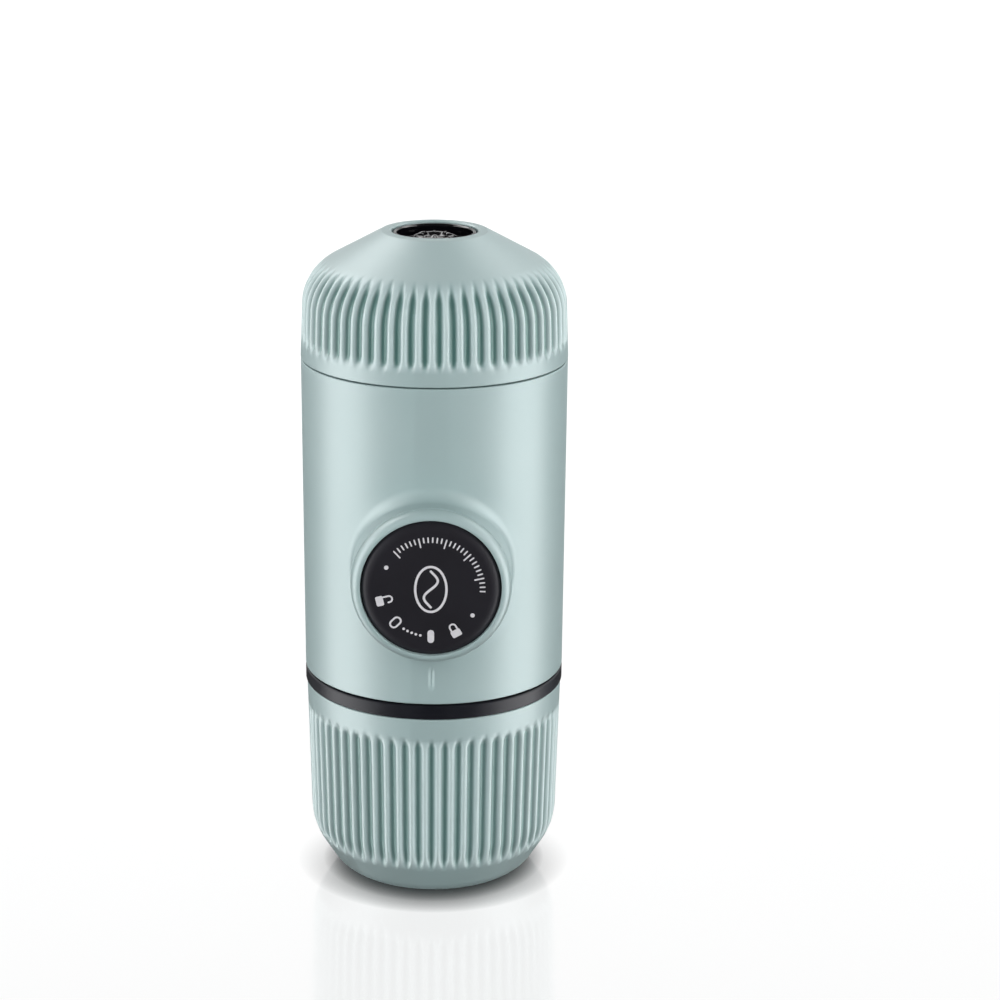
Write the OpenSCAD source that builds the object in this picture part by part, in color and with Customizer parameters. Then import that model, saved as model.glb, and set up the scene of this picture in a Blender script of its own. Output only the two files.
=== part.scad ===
// Handheld manual espresso maker: a water tank on top, a pump body in the middle,
// a brewing head below it and a cup that closes the bottom. Millimetres, +Z up,
// origin at the centre of the cup's base. The pump's axis points to -Y.

/* [Outside] */
// Outer diameter at the top of the body
body_d = 62; // [58:0.5:68]
// How much narrower the body is at its foot
foot_taper = 0.7; // [0:0.1:2]
// Height of the cup, up to its rim
cup_h = 47.4; // [44:0.1:56]
// Height of the black flange of the portafilter
flange_h = 3.6; // [2.6:0.1:5]
// Height of the body's sleeve
body_h = 75.2; // [72:0.1:82]
// Height of the tank's outer shell
tank_h = 29.8; // [29:0.1:33]
// Width of the seam lines between the outer pieces
seam = 0.25; // [0.1:0.05:0.4]

/* [Walls] */
// Thickness of the cup's wall
cup_wall = 2.4; // [2:0.1:3.2]
// Thickness of the body's sleeve
body_wall = 2.2; // [1.8:0.1:2.8]
// Thickness of the tank's outer shell
tank_wall = 2.5; // [2:0.1:3]
// Thickness of the tank's inner liner
liner_wall = 1.6; // [1.2:0.1:2]
// Gap between sleeves that slide into each other
fit_gap = 0.3; // [0.2:0.05:0.4]

/* [Flutes] */
// How many flutes run round the tank and the cup
flute_count = 60; // [48:2:66]
// Radius of a flute's round bottom
flute_r = 1.25; // [0.9:0.05:1.4]
// Depth of a flute below the surface
flute_depth = 0.85; // [0.4:0.05:1]
// Distance from the cup's rim to the upper end of its flutes
cup_flute_drop = 5.6; // [4:0.1:10]
// Distance from the tank's lower edge to the lower end of its flutes
tank_flute_rise = 3.4; // [2:0.1:6]
// Angle to which the flutes bend round the tank's shoulder
shoulder_tip = 30; // [12:1:34]

/* [Tank] */
// Radius of the tank's rounded shoulder
shoulder_r = 12.3; // [10:0.1:14]
// Slope of the tank's top above the horizontal
cone_slope = 29; // [24:0.5:32]
// Width of the rim round the opening in the tank's top
vent_rim = 1.78; // [1.2:0.02:2.4]
// Depth of the liner's closed end below the top of the opening
vent_depth = 3.6; // [3:0.1:5]
// How many lugs hold the tank, and the portafilter
lug_count = 3; // [2:1:4]
// Angle that one lug covers
lug_angle = 14; // [10:1:18]
// Height of a lug
lug_h = 2; // [1.6:0.1:2.4]
// How far a lug stands out of its neck
lug_out = 0.9; // [0.6:0.05:1]
// Angle that the tank and the portafilter turn to lock
lock_turn = 48; // [36:6:60]

/* [Pump] */
// Clearance between the knob and the brewing head's plate
knob_clear = 4.15; // [1.5:0.05:5]
// Clearance between the knob and the floor of the tank's socket
knob_room = 3.75; // [2.5:0.05:5]
// Diameter of the pump's bore
bore_d = 11; // [9:0.5:12]
// Travel of the piston
stroke = 15; // [10:0.5:16]
// Diameter of the round push knob
knob_d = 31.4; // [29:0.1:33]
// How far the knob's face stands out of the body
knob_out = 9; // [7.5:0.1:10.5]
// Length of the knob from its face to the end of its skirt
knob_len = 26; // [24:0.5:26.5]
// Width of the collar round the knob
collar_w = 2.3; // [1.8:0.1:3]
// How far the collar's front lies behind the knob's face
collar_drop = 0.3; // [0.1:0.05:2]
// Radius of the hollow blend between the collar and the body
boss_blend = 12; // [8:0.5:14]

/* [Brewing] */
// Thickness of the portafilter's neck
neck_wall = 2.65; // [2:0.05:3.2]
// Depth of the filter basket
basket_depth = 20; // [17:0.5:21]
// Thickness of the basket's and the screen's sheet steel
sheet = 0.6; // [0.4:0.1:0.8]
// Diameter of the holes in the screens
mesh_hole_d = 1.1; // [0.8:0.1:1.3]
// Bore of the spout
spout_bore_d = 2.4; // [1.6:0.1:3]

/* [Scoop] */
// Outer diameter of the coffee scoop
scoop_d = 29; // [24:0.5:31]
// Height of the coffee scoop
scoop_h = 12; // [9:0.5:13]
// Length of the scoop's handle beyond its bowl
scoop_handle = 7; // [4:0.5:8]

/* [Hidden] */
$fn = 72;
e = 0.01;

teal = "#b7ceca";
black = "#26262a";
rubber = "#3a3a3e";
steel = "#b9bcc0";
ink = "#c9c8cc";

// Heights, from the base up
flange_z = cup_h;
body_z = cup_h + flange_h;
body_top = body_z + body_h;
total_h = body_top + tank_h;
body_r = body_d / 2;
foot_r = body_r - foot_taper / 2;
cup_r = foot_r - 0.3;

// Body and its inside
sleeve_in = foot_r - body_wall + 0.15;
inner_r = sleeve_in - 0.2;
socket_wall = 1.8;
socket_in = inner_r - socket_wall;
socket_floor_t = 2.5;
seal_t = 1.9;
neck_r = socket_in - fit_gap;
tank_lug_z = body_top - 8;

// Brewing head: plate, skirt and posts
head_plate_t = 4;
skirt_depth = 7.5;
head_z = body_z + skirt_depth;
skirt_in = inner_r - 1.5;
neck_out = skirt_in - 0.35;
neck_in = neck_out - neck_wall;
gasket_t = 2;
basket_rim_r = neck_in - 0.3;
basket_r = basket_rim_r - 3.1;
post_r = 3.5;
post_front = [inner_r - 6.26, -18.4];
post_back = [inner_r - 4.1, 53.4];
post_places = [for (p = [post_front, post_back]) for (side = [-1, 1])
    [side * p[0] * cos(p[1]), p[0] * sin(p[1])]];
screw_r = 1.25;
screw_head_r = 2.2;
screw_head_t = 2;
screw_grip = 9;
screw_play = 0.02;

// Pump
knob_r = knob_d / 2;
pump_z = head_z + head_plate_t + knob_clear + knob_r;
socket_floor_z = pump_z + knob_r + knob_room + socket_floor_t;
post_split = (head_z + socket_floor_z) / 2;
face_y = -body_r - knob_out;
knob_edge = 1.8;
cap_t = 2.3;
skirt_t = 1.6;
skirt_front_t = 1;
skirt_y = face_y + cap_t + skirt_front_t;
collar_r = knob_r + collar_w;
collar_y = face_y + collar_drop;
collar_back = -sqrt(pow(sleeve_in, 2) - pow(collar_r, 2)) - 0.275;
collar_edge = 2;
boss_y = face_y + 3;
boss_wall = 0.6;
blend_y = boss_y + 4;
cyl_wall = 2.4;
cyl_r = bore_d / 2 + cyl_wall;
chamber_y = 8;
chamber_wall = 2;
piston_h = 5.5;
piston_y = chamber_y - 1 - piston_h;
piston_groove = 1.8;
seal_in = bore_d / 2 - 1.4;
rod_guide = 13.5;
cyl_front = piston_y - stroke - rod_guide;
cyl_back = chamber_y + chamber_wall;
valve_bore_r = 3.9;
valve_wall = 2.6;
valve_boss_r = valve_bore_r + valve_wall;
valve_y = cyl_back + valve_bore_r + 0.1;
valve_reach = 5;
valve_hole_r = 1.5;
nose_r = valve_bore_r - 0.9;
nose_len = 3.6;
plug_gap = 0.8;
plug_t = 1.8;
flap_t = 1.2;
block_wall = 3;
block_front = -9.5;
block_back = valve_y + 7;
block_r = cyl_r + block_wall;
seat_t = 2;
seat_r = 12.6;
rod_r = 3;
port_r = 1.2;
block_low = head_z + head_plate_t + 2.5;
block_high = socket_floor_z - socket_floor_t - 5;

// Cup inside
cup_in = cup_r - cup_wall;
cup_floor = 3.2;
foot_arc = 14;
foot_arc_x = cup_r - 1 - foot_arc;
foot_arc_z = foot_arc - 0.25;

// Tank
shoulder_x = body_r - 0.4 - shoulder_r;
shoulder_drop = 17.7;
shoulder_z = total_h - shoulder_drop;
cone_t = [shoulder_x + shoulder_r * sin(cone_slope), shoulder_z + shoulder_r * cos(cone_slope)];
cone_top_x = cone_t[0] - (total_h - cone_t[1]) / tan(cone_slope);
vent_r = cone_top_x - vent_rim;

// A ring between two radii, from z0 up to z1
module ring(r_in, r_out, z0, z1) {
    translate([0, 0, z0]) difference() {
        cylinder(r = r_out, h = z1 - z0);
        translate([0, 0, -1]) cylinder(r = r_in, h = z1 - z0 + 2);
    }
}

// A disc from z0 up to z1
module disc(r, z0, z1) {
    translate([0, 0, z0]) cylinder(r = r, h = z1 - z0);
}

// Turns a shape drawn along +Z so that it lies along the pump's axis, its own z becoming y
module along_pump() {
    translate([0, 0, pump_z]) rotate([-90, 0, 0]) children();
}

// A sector of a ring, centred on the angle at
module sector(r_in, r_out, z0, z1, at, wide) {
    translate([0, 0, z0]) rotate([0, 0, at - wide / 2])
        rotate_extrude(angle = wide) translate([r_in, 0]) square([r_out - r_in, z1 - z0]);
}

// The places where a lug sits before it is turned
module at_lugs() {
    for (i = [0 : lug_count - 1]) rotate([0, 0, 360 * i / lug_count + 90]) children();
}

// Lugs on a neck of radius r
module lugs(r, z0) {
    at_lugs() sector(r - 0.5, r + lug_out, z0, z0 + lug_h, 0, lug_angle);
}

// L-shaped lug ways: straight in from the open end, then round to the lock
module lug_ways(r_in, r_out, lug_z, open_z, turn) {
    play = 0.3;
    step = 0.05;
    way = lug_angle + 3;
    z0 = lug_z - play;
    z1 = lug_z + lug_h + play;
    at_lugs() {
        sector(r_in - 1 - step, r_out - step, min(z0 + step, open_z), max(z1 - step, open_z), 0, way);
        sector(r_in - 1, r_out, z0, z1, turn / 2, abs(turn) + way + step);
    }
}

// Rows of small holes for a sieve of radius r
module sieve_holes(r, z0, z1, pitch) {
    rows = floor(r / pitch);
    for (ring_i = [0 : rows])
        for (k = [0 : max(0, ring_i * 6 - 1)])
            rotate([0, 0, ring_i == 0 ? 0 : 360 * k / (ring_i * 6)]) translate([ring_i * pitch, 0, z0 - 1])
                cylinder(d = mesh_hole_d, h = z1 - z0 + 2, $fn = 16);
}

// A coil of round wire along +Z, from z0 to z1
function coil_ring(r, wire, a, z, sides) =
    [for (k = [0 : sides - 1]) let (b = 360 * k / sides)
        [(r + wire * cos(b)) * cos(a), (r + wire * cos(b)) * sin(a), z + wire * sin(b)]];
module coil(r, wire, z0, z1, turns, seg = 14, sides = 8) {
    n = turns * seg;
    points = [for (i = [0 : n]) each
        coil_ring(r, wire, 360 * i / seg, z0 + wire + (z1 - z0 - 2 * wire) * i / n, sides)];
    walls = [for (i = [0 : n - 1]) for (k = [0 : sides - 1])
        let (a = i * sides + k, b = i * sides + (k + 1) % sides)
        each [[a, b, b + sides], [a, b + sides, a + sides]]];
    start = [[for (k = [sides - 1 : -1 : 0]) k]];
    finish = [[for (k = [0 : sides - 1]) n * sides + k]];
    polyhedron(points, concat(walls, start, finish));
}

// One flute, cut by a straight rod that leans in with the wall by lean degrees. It runs along a bend
// of radius bend_r round the point (bend_x, bend_z); a tip above 0 adds a second rod that follows the bend
module flute(bend_x, bend_z, bend_r, low, lean, tip) {
    turn = (max(tip, lean) - lean) / 2;
    corner_r = (bend_r + flute_r - flute_depth) / cos(turn);
    reach = 5.5;
    straight = corner_r * sin(lean + turn) + bend_z - low + (tip > 0 ? 1 : reach);
    translate([bend_x + corner_r * cos(lean + turn), 0, bend_z + corner_r * sin(lean + turn)]) {
        rotate([0, 180 - lean, 0]) translate([0, 0, tip > 0 ? -1 : -reach])
            cylinder(r = flute_r, h = straight, $fn = 24);
        if (tip > 0) rotate([0, -tip, 0])
            cylinder(r = flute_r - 0.03, h = corner_r * sin(turn) + reach, $fn = 24);
    }
}

module cup_outer() {
    rim_z = cup_h - seam / 2;
    rotate([0, 0, 1]) rotate_extrude() difference() {
        union() {
            polygon([
                [0, 0], [foot_arc_x, 0], [foot_arc_x, foot_arc_z], [foot_arc_x + foot_arc - e, foot_arc_z],
                [cup_r, rim_z], [0, rim_z]
            ]);
            intersection() {
                translate([foot_arc_x, foot_arc_z]) circle(r = foot_arc);
                square([cup_r, foot_arc_z + 1]);
            }
        }
        translate([-60, -1]) square([60, cup_h + 2]);
    }
}

module cup() {
    cavity_r = cup_in - 0.6;
    corner = 9;
    color(teal) difference() {
        cup_outer();
        rotate_extrude() {
            polygon([
                [0, cup_floor], [cavity_r - corner, cup_floor],
                [cavity_r - corner * 0.3, cup_floor + corner * 0.35], [cavity_r, cup_floor + corner],
                [cup_in, cup_h - 10], [cup_in, cup_h + 1], [0, cup_h + 1]
            ]);
        }
        lean = atan((cup_r - foot_arc_x - foot_arc) / (cup_h - foot_arc_z));
        for (i = [0 : flute_count - 1]) rotate([0, 0, 360 * (i + 1) / flute_count - 90]) mirror([0, 0, 1])
            flute(foot_arc_x, -foot_arc_z, foot_arc, cup_flute_drop - cup_h, lean, 0);
    }
}

module scoop() {
    r = scoop_d / 2;
    z0 = cup_floor + 0.05;
    z1 = z0 + scoop_h;
    lip = 1.6;
    wall = 1.1;
    handle_w = scoop_handle * 1.25;
    color(black) difference() {
        union() {
            disc(r, z0, z1);
            intersection() {
                translate([0, -handle_w / 2, z1 - lip]) cube([r + scoop_handle, handle_w, lip]);
                disc(r + scoop_handle, z1 - lip - 1, z1 + 1);
            }
        }
        disc(r - wall, z0 + wall, z1 + 1);
        translate([r + scoop_handle - 3, 0, z1 - lip - 1]) cylinder(r = 1.5, h = lip + 2);
    }
}

ledge_z = head_z - gasket_t - sheet;
bowl_in = basket_r + 0.5;
bowl_out = bowl_in + 1.8;
bowl_floor = ledge_z - basket_depth - 2.4;
spigot_r = cup_in - fit_gap - 0.1;
spigot_z = flange_z - 7.5;
cup_seal_r = 0.9;
cup_seal_z = flange_z - 3.8;
nozzle_r = 4;
nozzle_len = 11;
lug_z_port = body_z + 2.2;

module portafilter() {
    color(black) {
        difference() {
            union() {
                disc(neck_out, body_z - e, head_z - 0.5);
                disc(foot_r, flange_z, body_z);
                disc(spigot_r, spigot_z, flange_z + e);
                disc(bowl_out, bowl_floor - 2, flange_z);
                disc(nozzle_r + 2.5, bowl_floor - 5, bowl_floor);
                lugs(neck_out, lug_z_port);
            }
            disc(neck_in, ledge_z, head_z + 1);
            disc(bowl_in, bowl_floor, head_z);
            disc(nozzle_r, bowl_floor - 6, bowl_floor + 1);
            ring(bowl_out + e, spigot_r - 1.8, spigot_z - 1, flange_z - 1.2);
            translate([0, 0, cup_seal_z])
                ring(spigot_r - 1.3, spigot_r + 2, -cup_seal_r, cup_seal_r);
            ring(bowl_in - 1, basket_rim_r - 0.28, ledge_z - 1.02, ledge_z + 1);
        }
    }
}

module cup_seal() {
    color(rubber) translate([0, 0, cup_seal_z]) rotate_extrude()
        translate([cup_in - 0.05 - cup_seal_r + 0.1, 0]) circle(r = cup_seal_r - 0.1, $fn = 24);
}

module spout_nozzle() {
    tip = bowl_floor - nozzle_len;
    shoulder = bowl_floor - 6.2;
    color(black) difference() {
        union() {
            disc(nozzle_r - 0.02, shoulder, bowl_floor + 1.2);
            disc(nozzle_r + 2.5, shoulder - 1.6, shoulder);
            translate([0, 0, tip]) cylinder(r1 = 2.6, r2 = nozzle_r, h = shoulder - 1.5 - tip);
        }
        disc(spout_bore_d / 2, tip - 1, bowl_floor + 2);
    }
}

module nozzle_seal() {
    color(rubber) ring(nozzle_r, nozzle_r + 1.8, bowl_floor - 6.2, bowl_floor - 5);
}

module filter_basket() {
    floor_z = ledge_z + sheet - basket_depth;
    color(steel) difference() {
        union() {
            disc(basket_r, floor_z, ledge_z + sheet - 0.02);
            disc(basket_rim_r, ledge_z, ledge_z + sheet - 0.02);
        }
        disc(basket_r - sheet, floor_z + sheet, head_z);
        sieve_holes(basket_r - 4, floor_z, floor_z + sheet, 2.7);
    }
}

module portafilter_seal() {
    color(rubber) ring(bowl_in + 0.2, basket_rim_r - 0.3, ledge_z - 1, ledge_z);
}

module body_outer() {
    translate([0, 0, body_z + seam]) cylinder(r1 = foot_r, r2 = body_r, h = body_h - 1.5 * seam);
}

// The raised boss round the collar, with a hollow blend down to the sleeve
module boss() {
    r = collar_r + boss_wall;
    blend_turn = 50;
    far = blend_y + boss_blend * sin(blend_turn);
    along_pump() rotate_extrude() {
        translate([0, boss_y]) square([r, far - boss_y]);
        difference() {
            translate([0, blend_y]) square([r + boss_blend * (1 - cos(blend_turn)), far - blend_y]);
            translate([r + boss_blend - 0.02, blend_y]) circle(r = boss_blend);
        }
    }
}

module body_shell() {
    mark_w = 1.5;
    mark_h = 5.5;
    mark_z = body_z + seam + 2.7;
    color(teal) difference() {
        union() {
            body_outer();
            intersection() {
                boss();
                translate([-body_r, boss_y - 1, body_z]) cube([2 * body_r, 1 - boss_y, body_h]);
            }
        }
        disc(sleeve_in, body_z - 1, body_top + 1);
        along_pump() disc(collar_r + 0.05, boss_y - 1, 0);
        translate([0, -foot_r - 0.35, mark_z + mark_w / 2]) {
            cylinder(d = mark_w, h = mark_h - mark_w, $fn = 24);
            sphere(d = mark_w + 0.02, $fn = 24);
            translate([0, 0, mark_h - mark_w]) sphere(d = mark_w + 0.02, $fn = 24);
        }
    }
}

module piston_collar() {
    bore = knob_r + 0.25;
    color(teal) along_pump() rotate_extrude() difference() {
        union() {
            translate([bore, collar_y + collar_edge])
                square([collar_r - bore, collar_back - collar_y - collar_edge]);
            intersection() {
                translate([collar_r - collar_edge, collar_y + collar_edge]) circle(r = collar_edge);
                translate([bore, collar_y - 1]) square([collar_r, collar_edge + 2]);
            }
        }
        translate([0, collar_y - 1]) square([bore, 40]);
    }
}

module posts(z0, z1) {
    for (p = post_places) translate([p[0], p[1], 0]) disc(post_r, z0, z1);
}

module brew_head() {
    chamber = 0.9;
    color(black) difference() {
        union() {
            disc(inner_r, body_z + 0.5, head_z + head_plate_t);
            posts(head_z + head_plate_t - e, post_split);
            translate([0, valve_y, 0]) disc(valve_bore_r + 1.8, head_z + head_plate_t - e, block_low);
        }
        disc(skirt_in, body_z - 1, head_z);
        ring(screw_r + 2.5, basket_r - 4.5, head_z - e, head_z + chamber);
        disc(screw_r + screw_play, head_z - 1, head_z + 3.4);
        translate([0, valve_y, 0]) disc(valve_hole_r, head_z - 1, block_low + 1);
        for (p = post_places) translate([p[0], p[1], 0]) {
            disc(screw_r + 0.15, head_z - 1, post_split + 1);
            disc(screw_head_r + 0.2, head_z - 1, head_z + 0.2 + screw_head_t);
        }
        lug_ways(skirt_in, skirt_in + lug_out, lug_z_port, body_z - 1, lock_turn);
    }
}

module brew_gasket() {
    color(rubber) ring(basket_r - 1.9, basket_rim_r + 0.2, head_z - gasket_t, head_z);
}

module shower_screen() {
    r = basket_r - 2.2;
    color(steel) difference() {
        disc(r, head_z - sheet, head_z);
        disc(screw_r + screw_play, head_z - 2, head_z + 1);
        difference() {
            sieve_holes(r - 3, head_z - sheet, head_z, 3.2);
            disc(4.5, head_z - 3, head_z + 1);
        }
    }
}

module screen_screw() {
    color(steel) {
        disc(2.6, head_z - sheet - 1.2, head_z - sheet);
        disc(screw_r, head_z - sheet - e, head_z + 3.2);
    }
}

module tank_socket() {
    color(black) difference() {
        union() {
            disc(inner_r, socket_floor_z - socket_floor_t, body_top - 0.2);
            posts(post_split, socket_floor_z - 1);
            translate([0, valve_y, 0]) disc(valve_bore_r + 1.8, block_high, socket_floor_z - 1);
            translate([0, valve_y, 0]) disc(nose_r, block_high - nose_len, block_high + 1);
        }
        disc(socket_in, socket_floor_z, body_top + 1);
        translate([0, valve_y, 0]) {
            disc(1.6, block_high - 5, socket_floor_z + 1);
            disc(valve_bore_r + 1.6, socket_floor_z - 0.8, socket_floor_z + 1);
        }
        for (p = post_places) translate([p[0], p[1], 0])
            disc(screw_r + screw_play, post_split - 1, post_split + screw_grip + 0.5);
        lug_ways(socket_in, socket_in + lug_out + 0.1, tank_lug_z, body_top + 1, -lock_turn);
    }
}

module chassis_screws() {
    color(steel) for (p = post_places) translate([p[0], p[1], 0]) {
        disc(screw_head_r, head_z + 0.2, head_z + 0.2 + screw_head_t);
        disc(screw_r, head_z + 0.2 + screw_head_t - e, post_split + screw_grip);
    }
}

module pump_block() {
    color(black) difference() {
        union() {
            along_pump() disc(block_r, block_front, block_back);
            translate([0, valve_y, 0]) disc(valve_boss_r, block_low, block_high);
        }
        along_pump() disc(cyl_r + e, block_front - 1, cyl_back);
        along_pump() disc(port_r, cyl_back - 1, valve_y);
        translate([0, valve_y, 0]) {
            disc(port_r, pump_z - valve_reach - 1, pump_z + valve_reach + 1);
            disc(valve_bore_r, pump_z + valve_reach, block_high + 1);
            disc(valve_bore_r, block_low - 1, pump_z - valve_reach);
        }
    }
}

module pump_cylinder() {
    color(steel) along_pump() difference() {
        union() {
            disc(cyl_r, cyl_front, cyl_back);
            disc(seat_r, block_front - seat_t, block_front);
        }
        disc(bore_d / 2, cyl_front - 1, chamber_y);
        disc(port_r, chamber_y - 1, cyl_back + 1);
    }
}

module cylinder_gland() {
    color(black) along_pump() difference() {
        union() {
            disc(cyl_r + 0.5, cyl_front - 1.6, cyl_front);
            disc(bore_d / 2 - 0.02, cyl_front - e, cyl_front + 2.4);
        }
        disc(rod_r + 0.05, cyl_front - 2, cyl_front + 3);
    }
}

module block_seals() {
    cord = 1.6;
    color(rubber) {
        translate([0, valve_y, 0]) ring(nose_r, valve_bore_r, block_high - 0.6 - cord, block_high - 0.6);
        translate([0, valve_y, 0]) ring(valve_hole_r, valve_bore_r, block_low, block_low + plug_gap);
    }
}

// A soft cap valve: a round flap on a short stem that lies on its seat
module inlet_valve() {
    seat = pump_z + valve_reach;
    color(rubber) translate([0, valve_y, 0]) {
        difference() {
            disc(valve_bore_r - 0.1, seat, seat + flap_t);
            for (k = [0 : 2]) rotate([0, 0, 120 * k]) translate([2.4, 0, 0]) disc(0.6, seat - 1, seat + 2);
        }
        disc(0.9, seat + flap_t - e, block_high - nose_len - 0.4);
    }
}

module intake_strainer() {
    color(steel) translate([0, valve_y, 0]) difference() {
        disc(valve_bore_r + 1.55, socket_floor_z - 0.8, socket_floor_z);
        sieve_holes(valve_bore_r - 0.6, socket_floor_z - 0.8, socket_floor_z, 2);
    }
}

valve_seat = pump_z - valve_reach;
poppet_h = 2.8;
plug_top = block_low + plug_gap + plug_t;

module pressure_valve() {
    color(rubber) translate([0, valve_y, 0]) {
        disc(valve_bore_r - 0.5, valve_seat - flap_t, valve_seat);
        disc(1.5, valve_seat - poppet_h, valve_seat - flap_t + e);
    }
}

module valve_spring() {
    color(steel) translate([0, valve_y, 0]) coil(2.3, 0.3, plug_top, valve_seat - flap_t, 3.5, 12, 6);
}

module valve_plug() {
    color(black) translate([0, valve_y, 0])
        ring(valve_hole_r, valve_bore_r - 0.02, block_low + plug_gap, plug_top);
}

module return_spring() {
    spring_wire = 0.7;
    spring_gap = 2.2;
    color(steel) along_pump() coil(cyl_r + spring_gap, spring_wire, skirt_y, block_front - seat_t, 7);
}

module piston_rod() {
    color(steel) along_pump() {
        difference() {
            disc(rod_r, skirt_y, piston_y + e);
            disc(screw_r + screw_play, skirt_y - 1, skirt_y + 6);
        }
        difference() {
            disc(bore_d / 2 - 0.1, piston_y, piston_y + piston_h);
            ring(seal_in, bore_d, piston_y + piston_groove, piston_y + 2 * piston_groove);
        }
    }
}

module piston_seal() {
    front = piston_y + piston_groove;
    color(rubber) along_pump() ring(seal_in, bore_d / 2 - 0.02, front + 0.05, front + piston_groove - 0.05);
}

module knob_skirt() {
    color(black) along_pump() difference() {
        disc(knob_r, face_y + cap_t, face_y + knob_len);
        disc(knob_r - skirt_t, skirt_y, face_y + knob_len + 1);
        disc(screw_r + 0.05, face_y, skirt_y + 1);
    }
}

mark_ring_r = 11.15;
mark_t = 0.25;

// A bar with round ends, along y
module pill(w, h, z0, z1) {
    straight = h - w;
    translate([0, 0, z0]) {
        for (k = [-1, 1]) translate([0, k * straight / 2, 0]) cylinder(d = w, h = z1 - z0);
        translate([-w / 2, -straight / 2, 0]) cube([w, straight, z1 - z0]);
    }
}

// The printed marks: a bar for the one position, an O for the other, and dots between
module marks(t) {
    bar_w = 1.5;
    bar_h = 3.1;
    dot_r = 0.31;
    dot_first = 12.2;
    dot_pitch = 5.2;
    oval_w = 2.1;
    oval_line = 0.4;
    o_turn = 45.3;
    along_pump() translate([0, 0, face_y]) {
        translate([0, mark_ring_r, 0]) pill(bar_w, bar_h, 0, t);
        for (k = [0 : 4]) rotate([0, 0, dot_first + dot_pitch * k]) translate([0, mark_ring_r, 0])
            cylinder(r = dot_r, h = t);
        rotate([0, 0, o_turn]) translate([0, mark_ring_r, 0]) difference() {
            pill(oval_w, bar_h, 0, t);
            pill(oval_w - 2 * oval_line, bar_h - 2 * oval_line, -1, t + 1);
        }
    }
}

module knob_cap() {
    color(black) difference() {
        along_pump() rotate_extrude() {
            translate([0, face_y + knob_edge]) square([knob_r, cap_t - knob_edge]);
            translate([0, face_y]) square([knob_r - knob_edge, cap_t]);
            intersection() {
                translate([knob_r - knob_edge, face_y + knob_edge]) circle(r = knob_edge);
                translate([0, face_y - 1]) square([knob_r + 1, knob_edge + 1.2]);
            }
        }
        marks(mark_t);
        along_pump() disc(2.7, face_y + cap_t - 1.2, face_y + cap_t + 1);
    }
}

module knob_marks() {
    color(ink) marks(mark_t);
}

module knob_screw() {
    color(steel) along_pump() {
        disc(2.4, face_y + cap_t - 1.1, face_y + cap_t);
        disc(screw_r, face_y + cap_t - e, skirt_y + 5.5);
    }
}

module tank_seal() {
    color(rubber) ring(neck_r - 2.6, neck_r, socket_floor_z + 0.02, socket_floor_z + seal_t - 0.02);
}

// The tank's outer form, without its flutes
module tank_outer(r_low, z_low) {
    rotate([0, 0, 1]) rotate_extrude() difference() {
        union() {
            polygon([
                [0, z_low], [r_low, z_low], [shoulder_x + shoulder_r - e, shoulder_z], [0, shoulder_z + e]
            ]);
            polygon([[0, shoulder_z], [shoulder_x, shoulder_z], cone_t, [cone_top_x, total_h], [0, total_h]]);
            translate([shoulder_x, shoulder_z]) circle(r = shoulder_r);
        }
        translate([-60, 0]) square([60, 200]);
        translate([0, shoulder_z - 30]) square([shoulder_x + shoulder_r + 5, 30 - (shoulder_z - z_low)]);
        translate([0, z_low - 40]) square([80, 40]);
    }
}

// Inside of the tank's shell, shrunk evenly by off: a straight bore, a chamfer and a cone that ends at z_cap
module shell_inside(off, z_low, z_cap) {
    r = body_r - tank_wall - off;
    cone_r = r - 3.8;
    drop = (tank_wall + off) / cos(cone_slope);
    cone_z = total_h - (cone_r - cone_top_x) * tan(cone_slope) - drop;
    cap_r = cone_top_x + (total_h - drop - z_cap) / tan(cone_slope);
    rotate_extrude() polygon([
        [0, z_low], [r, z_low], [r, shoulder_z + 1 - off * 0.5], [cone_r, cone_z], [cap_r, z_cap], [0, z_cap]
    ]);
}

module tank_shell() {
    lean = atan((body_r + 0.05 - shoulder_x - shoulder_r) / (shoulder_z - body_top));
    color(teal) difference() {
        tank_outer(body_r + 0.05, body_top + seam / 2);
        shell_inside(0, body_top - 1, total_h - 1.9);
        disc(vent_r, total_h - 10, total_h + 1);
        for (i = [0 : flute_count - 1]) rotate([0, 0, 360 * (i + 0.5) / flute_count - 90])
            flute(shoulder_x, shoulder_z, shoulder_r, body_top + tank_flute_rise, lean, shoulder_tip);
    }
}

module tank_liner() {
    neck_z = socket_floor_z + seal_t;
    lip_r = vent_r - fit_gap;
    color(black) difference() {
        union() {
            disc(neck_r, neck_z, body_top + 1);
            shell_inside(fit_gap, body_top + e, total_h - 2.2);
            disc(lip_r, total_h - 8, total_h - 0.5);
            lugs(neck_r, tank_lug_z);
        }
        disc(neck_r - liner_wall, neck_z - 1, body_top + 3);
        shell_inside(fit_gap + liner_wall, body_top + 2.5, total_h - vent_depth - liner_wall);
        disc(lip_r - 1, total_h - vent_depth, total_h + 1);
    }
}

module tank_vent_valve() {
    z0 = total_h - vent_depth;
    hub_r = 4.4;
    color(rubber) difference() {
        union() {
            disc(hub_r, z0, z0 + 1.6);
            for (k = [0 : 7]) rotate([0, 0, 45 * k]) translate([hub_r - 1, -0.4, z0]) cube([3, 0.8, 1.1]);
        }
        translate([0, 0, z0 + 0.8]) cylinder(r1 = 1.2, r2 = 2.4, h = 1.2);
    }
}

cup();
scoop();
portafilter();
cup_seal();
spout_nozzle();
nozzle_seal();
filter_basket();
portafilter_seal();
body_shell();
piston_collar();
brew_head();
brew_gasket();
shower_screen();
screen_screw();
tank_socket();
chassis_screws();
pump_block();
pump_cylinder();
cylinder_gland();
block_seals();
inlet_valve();
intake_strainer();
pressure_valve();
valve_spring();
valve_plug();
return_spring();
piston_rod();
piston_seal();
knob_skirt();
knob_cap();
knob_marks();
knob_screw();
tank_seal();
tank_liner();
tank_shell();
tank_vent_valve();
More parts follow.
